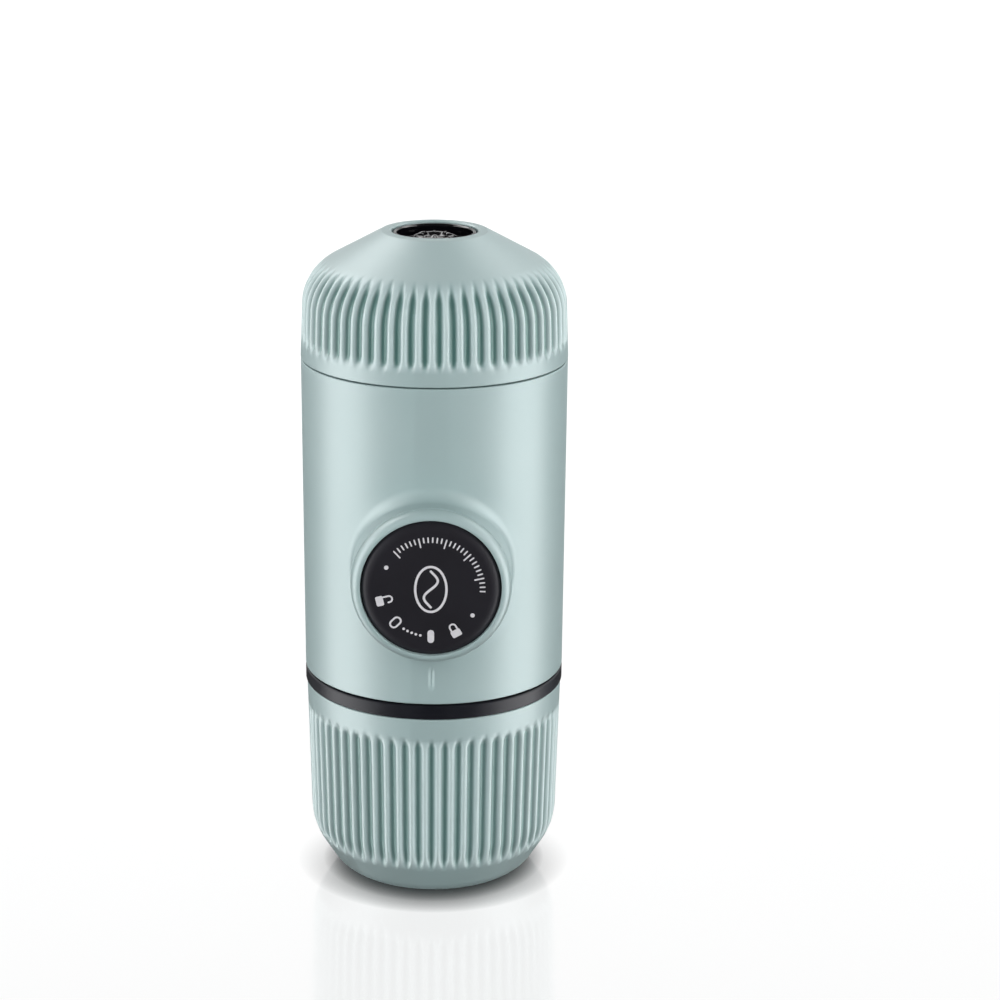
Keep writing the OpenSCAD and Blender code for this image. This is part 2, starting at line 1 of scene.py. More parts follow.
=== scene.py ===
"""Looks of a handheld manual espresso maker: soft-touch shells, a black knob and the parts inside.

Lengths are millimetres until a mesh is made; +Z is up and the pump's axis points to -Y.
"""

import math

import bmesh
import bpy
import numpy as np
from mathutils import Matrix, Vector


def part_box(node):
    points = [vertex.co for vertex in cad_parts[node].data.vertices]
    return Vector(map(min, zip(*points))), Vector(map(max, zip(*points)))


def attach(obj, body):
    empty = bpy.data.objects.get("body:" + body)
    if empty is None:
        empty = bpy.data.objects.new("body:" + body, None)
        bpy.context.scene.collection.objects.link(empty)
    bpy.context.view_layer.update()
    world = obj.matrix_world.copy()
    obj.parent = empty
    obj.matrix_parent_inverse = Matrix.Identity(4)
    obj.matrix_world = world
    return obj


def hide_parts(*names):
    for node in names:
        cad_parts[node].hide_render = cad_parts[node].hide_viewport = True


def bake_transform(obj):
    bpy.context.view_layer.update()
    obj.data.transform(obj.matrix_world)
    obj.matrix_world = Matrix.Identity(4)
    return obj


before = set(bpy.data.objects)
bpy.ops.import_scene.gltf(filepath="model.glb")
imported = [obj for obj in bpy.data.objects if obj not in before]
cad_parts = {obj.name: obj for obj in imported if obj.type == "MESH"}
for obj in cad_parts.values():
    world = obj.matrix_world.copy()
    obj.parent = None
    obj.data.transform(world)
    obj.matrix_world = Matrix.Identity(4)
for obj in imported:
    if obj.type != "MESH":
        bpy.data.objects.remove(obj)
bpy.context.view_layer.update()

MM = 0.001


# ---------------------------------------------------------------- sizes from the frame

def span(node):
    """Lowest and highest corners of a CAD node, in millimetres."""
    low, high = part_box(node)
    return np.array(low) / MM, np.array(high) / MM


CUP_LOW, CUP_HIGH = span("cup")
PORT_LOW, PORT_HIGH = span("portafilter")
BODY_LOW, BODY_HIGH = span("body_shell")
COLLAR_LOW, COLLAR_HIGH = span("piston_collar")
CAP_LOW, CAP_HIGH = span("knob_cap")
SKIRT_LOW, SKIRT_HIGH = span("knob_skirt")
LINER_LOW, LINER_HIGH = span("tank_liner")
TANK_LOW, TANK_HIGH = span("tank_shell")
NOZZLE_LOW, NOZZLE_HIGH = span("spout_nozzle")
SPRING_LOW, SPRING_HIGH = span("return_spring")
RELIEF_LOW, RELIEF_HIGH = span("valve_spring")
CUP_SEAL_LOW, CUP_SEAL_HIGH = span("cup_seal")
BASKET_R = span("filter_basket")[1][0]

BODY_R = BODY_HIGH[0]
KNOB_Z = (CAP_LOW[2] + CAP_HIGH[2]) / 2
KNOB_R = CAP_HIGH[0]
KNOB_FACE = -CAP_LOW[1]
COLLAR_R = COLLAR_HIGH[0]
COLLAR_FACE = -COLLAR_LOW[1]
DISC_R = KNOB_R + 0.06
RECESS_DEEP = 3.1
INK_LOW, INK_HIGH = KNOB_FACE - 0.06, KNOB_FACE - 0.005
FRONT = -math.pi / 2

# Grooves round the tank and the cup: how many, how deep, how steep their sides are in degrees, and the
# share of half a groove that its ridge takes
FLUTES, GROOVE, STEEP, RIDGE = 60, 1.0, 60, 0.42


# ---------------------------------------------------------------- outlines and surfaces

def outline(*corners, closed=True, step=None):
    """A path through corners (x, y, radius): straight lines, and at each corner whose radius is above 0
    an arc of that radius that touches both lines. A guard point just outside each end of an arc keeps
    the shading of the flats flat. With a step, long stretches are cut into pieces of about that length."""
    facet, guard_most = math.radians(11), 0.06
    places = np.array([c[:2] for c in corners], float)
    radii = [c[2] if len(c) > 2 else 0.0 for c in corners]
    count = len(places)
    path = []
    for i, (here, radius) in enumerate(zip(places, radii)):
        if radius <= 0 or (not closed and i in (0, count - 1)):
            path.append(here)
            continue
        back = places[i - 1] - here
        ahead = places[(i + 1) % count] - here
        back /= np.linalg.norm(back)
        ahead /= np.linalg.norm(ahead)
        half = math.acos(np.clip(back @ ahead, -1, 1)) / 2
        reach = radius / math.tan(half)
        centre = here + (back + ahead) / np.linalg.norm(back + ahead) * radius / math.sin(half)
        turn = math.pi - 2 * half
        pieces = max(3, math.ceil(turn / facet), math.ceil(radius * turn / step) if step else 0)
        start = here + back * reach - centre
        finish = here + ahead * reach - centre
        spin = np.sign(start[0] * finish[1] - start[1] * finish[0])
        a = math.atan2(start[1], start[0]) + spin * turn * np.linspace(0, 1, pieces + 1)
        guard = min(guard_most, radius / 4)
        path.append(here + back * (reach + guard))
        path.extend(centre + radius * np.stack([np.cos(a), np.sin(a)], -1))
        path.append(here + ahead * (reach + guard))
    path = np.array(path)
    return in_steps(path, closed, step) if step else path


def in_steps(path, closed, step):
    """A path with each of its stretches cut evenly, into pieces no longer than step."""
    starts = path if closed else path[:-1]
    ends = np.roll(path, -1, 0) if closed else path[1:]
    cuts = []
    for start, end in zip(starts, ends):
        count = max(1, math.ceil(np.linalg.norm(end - start) / step))
        cuts.append(start + (end - start) * np.linspace(0, 1, count, endpoint=False)[:, None])
    return np.concatenate(cuts + ([] if closed else [path[-1:]]))


def grid_faces(rows, columns, close_rows=True, close_columns=True):
    """Quads of a grid of points in row-major order; a closed direction joins its last line to its first."""
    i = np.arange(rows if close_rows else rows - 1)[:, None]
    j = np.arange(columns if close_columns else columns - 1)[None, :]
    i2, j2 = (i + 1) % rows, (j + 1) % columns
    quads = [i * columns + j, i * columns + j2, i2 * columns + j2, i2 * columns + j]
    return np.stack(np.broadcast_arrays(*quads), -1).reshape(-1, 4)


def turned(profile, steps=256, closed=True, cut=None):
    """Surface of revolution round Z: row i is the profile's point (r_i, z_i) and column j the angle a_j, so
    the point is (r cos a, r sin a, z). cut(r, z, a), if given, is how deep the surface lies below the
    profile, measured along the profile's normal. An open profile starts and ends on the axis."""
    r, z = profile[:, :1], profile[:, 1:]
    a = np.linspace(0, 2 * math.pi, steps, endpoint=False)[None, :] + FRONT
    if cut is not None:
        slope = np.roll(profile, -1, 0) - np.roll(profile, 1, 0)
        slope /= np.linalg.norm(slope, axis=1, keepdims=True)
        depth = cut(r, z, a)
        r = r - depth * slope[:, 1:]
        z = z + depth * slope[:, :1]
    points = np.stack(np.broadcast_arrays(r * np.cos(a), r * np.sin(a), z), -1)
    return points.reshape(-1, 3), grid_faces(len(profile), steps, closed)


def facing_front(points):
    """Turns points made round +Z so that +Z becomes the knob's axis, -Y, at the knob's height."""
    return np.stack([points[:, 0], -points[:, 2], KNOB_Z + points[:, 1]], -1)


def join(*parts):
    """Several (points, faces) pairs as one."""
    starts = np.cumsum([0] + [len(p) for p, f in parts[:-1]])
    return np.concatenate([p for p, f in parts]), np.concatenate([f + s for (p, f), s in zip(parts, starts)])


def swept(section, places, across, up, sizes):
    """A tube: at place k of the path, each point (u, v) of the section lies at
    place + size * (u * across + v * up). The ends are closed by their sizes going to 0."""
    size = np.asarray(sizes, float)[:, None, None]
    points = places[:, None, :] + size * (
        section[None, :, :1] * across[:, None, :] + section[None, :, 1:] * up[:, None, :]
    )
    return points.reshape(-1, 3), grid_faces(len(places), len(section), False)


def circle(radius, count):
    """Points round a circle, counter-clockwise."""
    a = np.linspace(0, 2 * math.pi, count, endpoint=False)
    return radius * np.stack([np.cos(a), np.sin(a)], -1)


def coil(radius, wire, low, high, turns, dead=0.75):
    """A spring round Z: the wire's centre runs on a helix from low to high, and its first and last turns
    (dead of them each) lie almost flat, one wire and a little more above the next. Its ends close over a
    half round."""
    points_a_turn, end_rows = 40, 3
    count = int(turns * points_a_turn)
    done = turns * np.linspace(0, 1, count)
    flat_rise = 2.15 * wire
    first = np.clip(done / dead, 0, 1)
    last = np.clip((done - turns + dead) / dead, 0, 1)
    free = np.clip((done - dead) / (turns - 2 * dead), 0, 1)
    z = low + wire + flat_rise * (first + last) + (high - low - 2 * wire - 2 * flat_rise) * free
    a = 2 * math.pi * done
    places = np.stack([radius * np.cos(a), radius * np.sin(a), z], -1)
    across = np.stack([np.cos(a), np.sin(a), 0 * a], -1)
    up = np.tile([0.0, 0.0, 1.0], (count, 1))
    from_end = np.minimum(np.arange(count), np.arange(count)[::-1]) / end_rows
    sizes = np.sqrt(1 - (1 - from_end).clip(0, 1) ** 2)
    return swept(circle(wire, 14), places, across, up, sizes)


def lug(r_in, r_out, low, high, angle, wide, corner=0.25):
    """A block bent round Z: a rounded section swept through wide degrees, centred on angle, closed at both
    ends by two shrinking rows."""
    middle_r, middle_z = (r_in + r_out) / 2, (low + high) / 2
    half_r, half_z = (r_out - r_in) / 2, (high - low) / 2
    section = outline(
        (-half_r, -half_z, corner), (half_r, -half_z, corner),
        (half_r, half_z, corner), (-half_r, half_z, corner),
    )
    share = np.concatenate([[-1, -1, -0.985], np.linspace(-0.95, 0.95, 8), [0.985, 1, 1]])
    sizes = [0, 0.85, 0.96] + [1] * 8 + [0.96, 0.85, 0]
    a = np.radians(angle + wide / 2 * share)
    out = np.stack([np.cos(a), np.sin(a), 0 * a], -1)
    up = np.tile([0.0, 0.0, 1.0], (len(a), 1))
    return swept(section, middle_r * out + [0, 0, middle_z], out, up, sizes)


def smooth(x):
    """0 below 0, 1 above 1 and an S-shaped rise between."""
    x = np.clip(x, 0, 1)
    return x * x * (3 - 2 * x)


def hollow(q):
    """Cross-section of a groove: 1 at its bottom (q = 0), 0 at its edge (q = 1). A wide hollow arc meets half
    of a narrow round ridge where both are STEEP degrees steep; the ridge takes the RIDGE share of q."""
    slope = math.radians(STEEP)
    bottom, top = (1 - RIDGE) / math.sin(slope), RIDGE / math.sin(slope)
    deep = (1 - math.cos(slope)) / math.sin(slope)
    q = np.clip(q, 0, 1)
    low = deep - bottom + np.sqrt(np.maximum(bottom ** 2 - q ** 2, 0))
    high = top - np.sqrt(np.maximum(top ** 2 - (1 - q) ** 2, 0))
    return np.where(q < 1 - RIDGE, low, high) / deep


# ---------------------------------------------------------------- meshes

def piece(name, shape, body, material, replaces=(), sharp=40):
    """Makes a mesh from (points in millimetres, quads) and, on a fluted shell, the height of its relief
    from -1 to 1. It closes seams and poles, turns the faces outwards, shades the mesh smooth except across
    edges sharper than sharp degrees, and hangs it on a body."""
    points, faces, *relief = shape
    mesh = bpy.data.meshes.new(name)
    mesh.from_pydata((points * MM).tolist(), [], faces.tolist())
    for height in relief:
        mesh.attributes.new("relief", "FLOAT", "POINT").data.foreach_set("value", height)
    work = bmesh.new()
    work.from_mesh(mesh)
    bmesh.ops.remove_doubles(work, verts=work.verts, dist=2e-7)
    bmesh.ops.dissolve_degenerate(work, edges=work.edges, dist=1e-8)
    bmesh.ops.recalc_face_normals(work, faces=work.faces)
    work.to_mesh(mesh)
    work.free()
    mesh.polygons.foreach_set("use_smooth", np.ones(len(mesh.polygons), bool))
    mesh.set_sharp_from_angle(angle=math.radians(sharp))
    mesh.materials.append(material)
    made = bpy.data.objects.new(name, mesh)
    bpy.context.scene.collection.objects.link(made)
    if body:
        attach(made, body)
    if replaces:
        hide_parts(*replaces)
    return made


# ---------------------------------------------------------------- materials

def rgb(hex_code, alpha=1.0):
    """An sRGB hex colour as the linear colour that a shader takes."""
    parts = [int(hex_code[k:k + 2], 16) / 255 for k in (1, 3, 5)]
    return [c / 12.92 if c <= 0.04045 else ((c + 0.055) / 1.055) ** 2.4 for c in parts] + [alpha]


def per(size):
    """The texture scale, per metre, of a pattern whose cells are that many millimetres wide."""
    return 1 / (size * MM)


def add(tree, kind, inputs=None, **settings):
    """Adds a shader node. settings are its properties; inputs gives its sockets values or links."""
    made = tree.nodes.new("ShaderNode" + kind)
    for name, value in settings.items():
        setattr(made, name, value)
    for name, value in (inputs or {}).items():
        if isinstance(value, bpy.types.NodeSocket):
            tree.links.new(value, made.inputs[name])
        else:
            made.inputs[name].default_value = value
    return made


def material(name, shader):
    """A material with one Principled shader, its tree and the Object coordinates of its pattern."""
    made = bpy.data.materials.new(name)
    made.use_nodes = True
    tree = made.node_tree
    tree.nodes.clear()
    surface = add(tree, "BsdfPrincipled", shader)
    add(tree, "OutputMaterial", {"Surface": surface.outputs["BSDF"]})
    coords = add(tree, "TexCoord").outputs["Object"]
    return made, tree, surface, coords


def moulded(name, tone, tone_2, roughness, grain, depth, shader=None, patch=18.0, uneven=0.06):
    """A moulded plastic: a fine spark-eroded grain of grain millimetres in the bump, and patches some
    centimetres wide where tone and gloss drift a little, as they do where a mould cools unevenly."""
    made, tree, surface, coords = material(name, {"Metallic": 0.0, **(shader or {})})
    drift = add(tree, "TexNoise", {"Vector": coords, "Scale": per(patch), "Detail": 3.0, "Roughness": 0.55})
    tint = add(tree, "MapRange", {"Value": drift.outputs["Fac"], "From Min": 0.3, "From Max": 0.7})
    tones = {"Factor": tint.outputs["Result"], "A": rgb(tone), "B": rgb(tone_2)}
    mixed = add(tree, "Mix", tones, data_type="RGBA")
    tree.links.new(mixed.outputs["Result"], surface.inputs["Base Color"])
    fine = add(tree, "TexNoise", {"Vector": coords, "Scale": per(grain), "Detail": 2.0, "Roughness": 0.6})
    gloss = add(tree, "MapRange", {
        "Value": drift.outputs["Fac"], "From Min": 0.25, "From Max": 0.75,
        "To Min": roughness - uneven / 2, "To Max": roughness + uneven / 2,
    })
    tree.links.new(gloss.outputs["Result"], surface.inputs["Roughness"])
    bump = add(tree, "Bump", {"Height": fine.outputs["Fac"], "Distance": depth * MM, "Strength": 1.0})
    tree.links.new(bump.outputs["Normal"], surface.inputs["Normal"])
    return made


def soft_touch_abs():
    """ABS with a soft-touch lacquer, sprayed over a fine grain: broad satin highlights with a slight sparkle,
    and no hard reflections. On the fluted shells the mesh's relief paints the ridges paler, a painted
    highlight, and the bottoms of the grooves deep green, a painted shade."""
    made, tree, surface, coords = material(
        "soft_touch_lacquered_abs", {"Metallic": 0.0, "IOR": 1.5, "Specular IOR Level": 0.8}
    )
    drift = add(tree, "TexNoise", {"Vector": coords, "Scale": per(45.0), "Detail": 3.0, "Roughness": 0.55})
    tint = add(tree, "MapRange", {"Value": drift.outputs["Fac"], "From Min": 0.3, "From Max": 0.7})
    # Painted light: the relief lightens the ridges (painted highlight) and darkens the grooves deep green
    # (painted shade)
    relief = add(tree, "Attribute", attribute_name="relief")
    ridge = add(tree, "MapRange", {"Value": relief.outputs["Fac"], "From Min": 0.1, "From Max": 1.0})
    groove = add(tree, "MapRange", {"Value": relief.outputs["Fac"], "From Min": 0.15, "From Max": -0.85})
    tone = rgb("#b3c8c9")
    for share, over in ((tint, "#adc4c5"), (ridge, "#c3d8d8"), (groove, "#507a75")):
        tones = {"Factor": share.outputs["Result"], "A": tone, "B": rgb(over)}
        tone = add(tree, "Mix", tones, data_type="RGBA").outputs["Result"]
    tree.links.new(tone, surface.inputs["Base Color"])
    fine = add(tree, "TexNoise", {"Vector": coords, "Scale": per(0.35), "Detail": 2.0, "Roughness": 0.6})
    gloss = add(tree, "MapRange", {"Value": fine.outputs["Fac"], "To Min": 0.39, "To Max": 0.46})
    tree.links.new(gloss.outputs["Result"], surface.inputs["Roughness"])
    bump = add(tree, "Bump", {"Height": fine.outputs["Fac"], "Distance": 0.007 * MM, "Strength": 1.0})
    tree.links.new(bump.outputs["Normal"], surface.inputs["Normal"])
    return made


def satin_abs():
    """Black ABS moulded in a fine satin tool: a soft grey sheen on the turned edges."""
    return moulded(
        "satin_black_abs", "#1d1c21", "#201f25", 0.45, 0.35, 0.004,
        {"IOR": 1.46, "Specular IOR Level": 0.3}, 14.0,
    )


def ring_abs():
    """Charcoal glass-filled plastic of the brewing parts: satin, a little lighter than the knob, with the
    faint cloudiness that the fibres leave."""
    return moulded(
        "glass_filled_charcoal_plastic", "#14151b", "#1a1b21", 0.38, 0.4, 0.006,
        {"IOR": 1.5, "Specular IOR Level": 0.19}, 7.0, 0.1,
    )


def gloss_plastic():
    """Black copolyester of the water tank, moulded against a polished tool: deep, wet-looking glints."""
    return moulded(
        "polished_black_copolyester", "#0b0a0e", "#0e0d12", 0.09, 1.2, 0.0015, {"IOR": 1.57}, 11.0, 0.05,
    )


def silicone():
    """Moulded silicone rubber: dull and even, with a faint bloom at grazing angles."""
    return moulded(
        "silicone_rubber", "#2f2f33", "#36363a", 0.62, 0.5, 0.01,
        {"IOR": 1.41, "Sheen Weight": 0.15, "Sheen Roughness": 0.5}, 6.0, 0.1,
    )


def printed_ink():
    """Pad-printed light grey ink: flat and slightly uneven where the pad left it thin."""
    return moulded("pad_printed_ink", "#e6e5e9", "#dcdbe0", 0.55, 0.2, 0.003, {"IOR": 1.5}, 1.5, 0.08)


def brushed_steel():
    """Stainless sheet, rolled and brushed along its length before pressing: fine streaks that draw the
    highlights out across them."""
    made, tree, surface, coords = material("brushed_stainless_sheet", {"Metallic": 1.0, "Anisotropic": 0.35})
    streak_long, streak_wide = 14.0, 0.25
    stretched = add(tree, "Mapping", {"Vector": coords, "Scale": (1.0, streak_long / streak_wide, 1.0)})
    streaks = add(tree, "TexNoise", {
        "Vector": stretched.outputs["Vector"], "Scale": per(streak_long), "Detail": 4.0, "Roughness": 0.6,
    })
    tones = {"Factor": streaks.outputs["Fac"], "A": rgb("#b7b8ba"), "B": rgb("#cfd0d1")}
    tone = add(tree, "Mix", tones, data_type="RGBA")
    tree.links.new(tone.outputs["Result"], surface.inputs["Base Color"])
    gloss = add(tree, "MapRange", {"Value": streaks.outputs["Fac"], "To Min": 0.22, "To Max": 0.36})
    tree.links.new(gloss.outputs["Result"], surface.inputs["Roughness"])
    bump = add(tree, "Bump", {"Height": streaks.outputs["Fac"], "Distance": 0.004 * MM, "Strength": 1.0})
    tree.links.new(bump.outputs["Normal"], surface.inputs["Normal"])
    return made


def turned_steel(name, axis, centre, pitch):
    """Stainless bar turned on a lathe: tool marks run round the piece, pitch millimetres apart, which is
    drawn much coarser than the real feed so that it shows. A wave texture repeats each 2 pi / 20."""
    made, tree, surface, coords = material(name, {"Metallic": 1.0})
    centred = add(tree, "Mapping", {"Vector": coords, "Location": [-c * MM for c in centre]})
    marks = add(tree, "TexWave", {
        "Vector": centred.outputs["Vector"], "Scale": per(pitch) * 2 * math.pi / 20,
        "Distortion": 0.6, "Detail": 2.0, "Detail Scale": 0.4,
    }, wave_type="BANDS", bands_direction=axis)
    drift = add(tree, "TexNoise", {"Vector": coords, "Scale": per(5.0), "Detail": 3.0})
    tones = {"Factor": drift.outputs["Fac"], "A": rgb("#a9abae"), "B": rgb("#c3c4c6")}
    tone = add(tree, "Mix", tones, data_type="RGBA")
    tree.links.new(tone.outputs["Result"], surface.inputs["Base Color"])
    gloss = add(tree, "MapRange", {"Value": marks.outputs["Fac"], "To Min": 0.2, "To Max": 0.3})
    tree.links.new(gloss.outputs["Result"], surface.inputs["Roughness"])
    bump = add(tree, "Bump", {"Height": marks.outputs["Fac"], "Distance": 0.004 * MM, "Strength": 0.7})
    tree.links.new(bump.outputs["Normal"], surface.inputs["Normal"])
    return made


SOFT_TOUCH = soft_touch_abs()
SATIN = satin_abs()
RING = ring_abs()
GLOSS = gloss_plastic()
SILICONE = silicone()
INK = printed_ink()
SHEET = brushed_steel()
BAR_Y = turned_steel("turned_stainless_bar", "Y", (0, 0, KNOB_Z), 2.2)
BAR_Z = turned_steel("turned_stainless_screws", "Z", (0, 0, 0), 3.1)


# ---------------------------------------------------------------- shells

def fluted(crest, low, low_soft, high, high_soft):
    """How deep FLUTES grooves round Z cut, as a function of r, z and the angle a. Across a groove the phase
    runs from -1 to 1 and its bottom is at 0; beyond low and high the groove goes on for a soft length and
    closes round, like a drop's end. A crest or a groove stands at the front."""
    shift = 0.0 if crest else 0.5

    def cut(r, z, a):
        phase = (FLUTES * (a - FRONT) / (2 * math.pi) + shift) % 1.0 * 2 - 1
        over = np.maximum(np.maximum(z - high, 0) / high_soft, np.maximum(low - z, 0) / low_soft)
        return GROOVE * hollow(np.sqrt(phase ** 2 + over ** 2))

    return cut


def shell(outside, inside, cut, groove_shade_depth):
    """A turned wall whose outside carries grooves and whose inside is plain: both are rows of one grid. Its
    relief is 1 on a ridge, 0 where the wall is smooth and, at the bottom of a groove, minus the last argument,
    which sets how dark the painted shade in the grooves is; the soft-touch material also paints a highlight on
    the ridges from it."""
    steps_a_groove = 14

    def outer_only(r, z, a):
        row = np.arange(len(r))[:, None]
        return np.where(row < len(outside), cut(r, z, a), 0.0)

    profile = np.concatenate([outside, inside[1:]])
    ring = profile[0, 0] > 0
    profile = profile[:-1] if ring else profile
    steps = FLUTES * steps_a_groove
    around = np.linspace(0, 2 * math.pi, steps, endpoint=False)[None, :] + FRONT
    depth = outer_only(profile[:, :1], profile[:, 1:], around) / GROOVE
    relief = depth.max(1, keepdims=True) - 2 * depth
    # Painted shade: the grooves' relief, scaled here, sets how deep a green the material paints into them
    relief = np.where(relief < 0, groove_shade_depth * relief, relief)
    return *turned(profile, steps, ring, outer_only), relief.ravel()


def tank_shell():
    """The tank's outer shell: a wall that leans in a little, a shoulder arc, a straight cone up to a small
    rounded lip, and a smooth inside. The grooves follow the shoulder and end in drops."""
    low, high = TANK_LOW[2], TANK_HIGH[2]
    mouth = 9.95
    wall = 2.45
    outside = outline(
        (BODY_R - wall, low + 0.1), (BODY_R + 0.04, low + 0.1, 0.2), (30.36, low + 19.5, 12.3),
        (12.3, high - 0.25, 0.9), (10.5, high - 0.02, 0.5), (mouth, high - 0.35, 0.3), (mouth, high - 2.0),
        closed=False, step=1.0,
    )
    inside = outline(
        (mouth, high - 2.0), (12.6, high - 3.0, 0.5), (25.0, high - 10.0, 4.0),
        (BODY_R - wall, high - 16.8, 2.0), (BODY_R - wall, low + 0.1), closed=False, step=4.0,
    )
    cut = fluted(True, low + 6.0, 2.7, low + 18.6, 4.4)
    return shell(outside, inside, cut, 1.0)


def cup():
    """The cup: a wall that leans in towards a chamfered foot with two arcs and a flat base, and a smooth
    rounded inside. The grooves start just above the foot's arc and end below the rim."""
    low, high = CUP_LOW[2], CUP_HIGH[2]
    rim = CUP_HIGH[0]
    wall = 2.4
    outside = outline(
        (0, low), (22.4, low, 7.3), (29.39, low + 11.0, 14.5), (rim, high, 0.35), (rim - wall, high),
        closed=False, step=1.0,
    )
    inside = outline(
        (rim - wall, high), (rim - wall, high - 10, 8.0), (rim - wall - 0.6, low + 3.2, 9.0), (0, low + 3.2),
        closed=False, step=4.0,
    )
    cut = fluted(False, low + 12.0, 4.2, high - 7.6, 2.6)
    return shell(outside, inside, cut, 0.72)


def body_radius(z):
    """The sleeve's outer radius: it widens evenly from its foot to its top."""
    foot_r, top_r = PORT_HIGH[0], BODY_R
    return foot_r + (top_r - foot_r) * (z - BODY_LOW[2]) / (BODY_HIGH[2] - BODY_LOW[2])


def body_shell():
    """The sleeve with the knob's boss, as one closed shell. Its front is a patch of rays that start on the
    edge of a rectangle in (arc length, height), run in to the boss, over its rounded edge, through the
    hole and back out along the inside. Round the boss the wall meets the sleeve in a rolling-ball fillet:
    a rational curve whose middle weight is the cosine of half the turn, which is an exact arc when both
    its arms are as long. The sleeve's back and its two end faces are plain grids."""
    low, high = BODY_LOW[2], BODY_HIGH[2]
    lip, ball, wall, side = 0.25, 3.3, 2.2, math.radians(80)
    boss_r, boss_face, boss_edge = COLLAR_R + 0.14, KNOB_FACE - 3.0, 0.07
    hole, hole_end = COLLAR_R + 0.005, KNOB_FACE - 4.5
    inner_r = body_radius(low) - wall + 0.15
    upright_steps, level_steps, back_steps, fan_steps, fillet_steps = 64, 96, 67, 14, 14

    # edge of the rectangle: right side up, top leftwards, left side down, bottom rightwards
    upright = np.linspace(0, 1, upright_steps + 1)
    level = np.linspace(-1, 1, level_steps + 1)
    crowd = np.sign(level) * np.abs(level) ** 1.8
    climb, sweep = upright[:-1], crowd[:-1]
    angle = np.concatenate([0 * climb + side, -side * sweep, 0 * climb - side, side * sweep])
    share = np.concatenate([climb, 0 * sweep + 1, 1 - climb, 0 * sweep])
    edge_z = low + lip + (high - low - 2 * lip) * share
    edge_u = BODY_R * angle
    phi = np.arctan2(edge_z - KNOB_Z, edge_u)
    cos, sin = np.cos(phi), np.sin(phi)

    def stand(rho):
        """How far in front of the axis the sleeve lies at a distance rho from the knob's axis."""
        return np.sqrt(body_radius(KNOB_Z + rho * sin) ** 2 - (rho * cos) ** 2)

    def sunk(x, z, y):
        """How deep a point lies in the index groove below the knob, a soft trough with round ends."""
        middle_low, middle_high, half, deep = low + 4.45, low + 8.1, 0.85, 0.4
        over = np.maximum(np.maximum(z - middle_high, middle_low - z), 0)
        q = np.clip(np.hypot(x, over) / half, 0, 1)
        return np.where((y < 0) & (z < KNOB_Z), deep / 2 * (1 + np.cos(math.pi * q)), 0.0)

    def bent(r, z, a, closed):
        """A grid with a row for each radius and height, over the angles a from the front."""
        grid = np.stack(np.broadcast_arrays(r * np.sin(a), -r * np.cos(a), z), -1)
        return grid.reshape(-1, 3), grid_faces(len(r), len(a), False, closed)

    rows = []

    def add_row(x, y, z):
        rows.append(np.stack(np.broadcast_arrays(x, y, z), -1))

    # the fillet's three points along each ray: on the sleeve, at the corner and on the boss
    slope = np.arctan2(boss_r * cos ** 2, stand(boss_r))
    reach = ball * np.tan((math.pi / 2 - slope) / 2)
    foot = boss_r + reach * np.cos(slope)
    foot_h = stand(foot)
    probe = 0.01
    steep = (stand(foot - probe) - stand(foot + probe)) / (2 * probe)
    corner_h = foot_h + steep * reach * np.cos(slope)
    start_h = corner_h + reach

    # the sleeve's front, from the rectangle in to the fillet, and the fillet
    foot_x, foot_z = foot * cos, KNOB_Z + foot * sin
    foot_u = BODY_R * np.arcsin(foot_x / body_radius(foot_z))
    for t in np.linspace(0, 1, fan_steps, endpoint=False):
        u, z = edge_u + (foot_u - edge_u) * t, edge_z + (foot_z - edge_z) * t
        r = body_radius(z)
        x, y = r * np.sin(u / BODY_R), -r * np.cos(u / BODY_R)
        add_row(x, y + sunk(x, z, y), z)
    weight = np.cos((math.pi / 2 - slope) / 2)
    for t in np.linspace(0, 1, fillet_steps + 1):
        a, b, c = (1 - t) ** 2, 2 * t * (1 - t) * weight, t ** 2
        rho = (a * foot + (b + c) * boss_r) / (a + b + c)
        h = (a * foot_h + b * corner_h + c * start_h) / (a + b + c)
        x, z = rho * cos, KNOB_Z + rho * sin
        add_row(x, -h + sunk(x, z, -h), z)

    # the boss's side, its rounded edge, its face and the hole
    for t in np.linspace(0.33, 1, 3):
        h = start_h + (boss_face - boss_edge - start_h) * t
        add_row(boss_r * cos, -h, KNOB_Z + boss_r * sin)
    for a in np.linspace(0, math.pi / 2, 5)[1:]:
        rho = boss_r - boss_edge * (1 - math.cos(a))
        h = boss_face - boss_edge * (1 - math.sin(a))
        add_row(rho * cos, -h, KNOB_Z + rho * sin)
    hole_h = np.sqrt(inner_r ** 2 - (hole * cos) ** 2)
    for h in (boss_face, hole_end, (hole_end + hole_h) / 2, hole_h):
        add_row(hole * cos, -h, KNOB_Z + hole * sin)

    # back out along the inside
    hole_z, in_z = KNOB_Z + hole * sin, low + (high - low) * share
    hole_a = np.arcsin(hole * cos / inner_r)
    for t in np.linspace(0, 1, 9)[1:]:
        a = hole_a + (angle - hole_a) * t
        add_row(inner_r * np.sin(a), -inner_r * np.cos(a), hole_z + (in_z - hole_z) * t)
    front = np.array(rows)
    parts = [(front.reshape(-1, 3), grid_faces(front.shape[0], front.shape[1], False))]

    # back of the sleeve, outside and inside
    rest = np.linspace(side, 2 * math.pi - side, back_steps + 1)
    out_z, in_z = low + lip + (high - low - 2 * lip) * upright[:, None], low + (high - low) * upright[:, None]
    parts.append(bent(body_radius(out_z), out_z, rest, False))
    parts.append(bent(inner_r + 0 * in_z, in_z, rest, False))

    # end faces: a small arc from the outside, then flat to the inside
    around = np.concatenate([side * crowd, rest[1:-1]])
    for end, way in ((high, 1), (low, -1)):
        a = np.linspace(0, math.pi / 2, 5)
        outer = body_radius(end - way * lip)
        r = np.append(outer - lip * (1 - np.cos(a)), [outer - lip - 0.05, inner_r])
        z = np.append(end - way * lip * (1 - np.sin(a)), [end, end])
        parts.append(bent(r[:, None], z[:, None], around, True))
    return join(*parts)


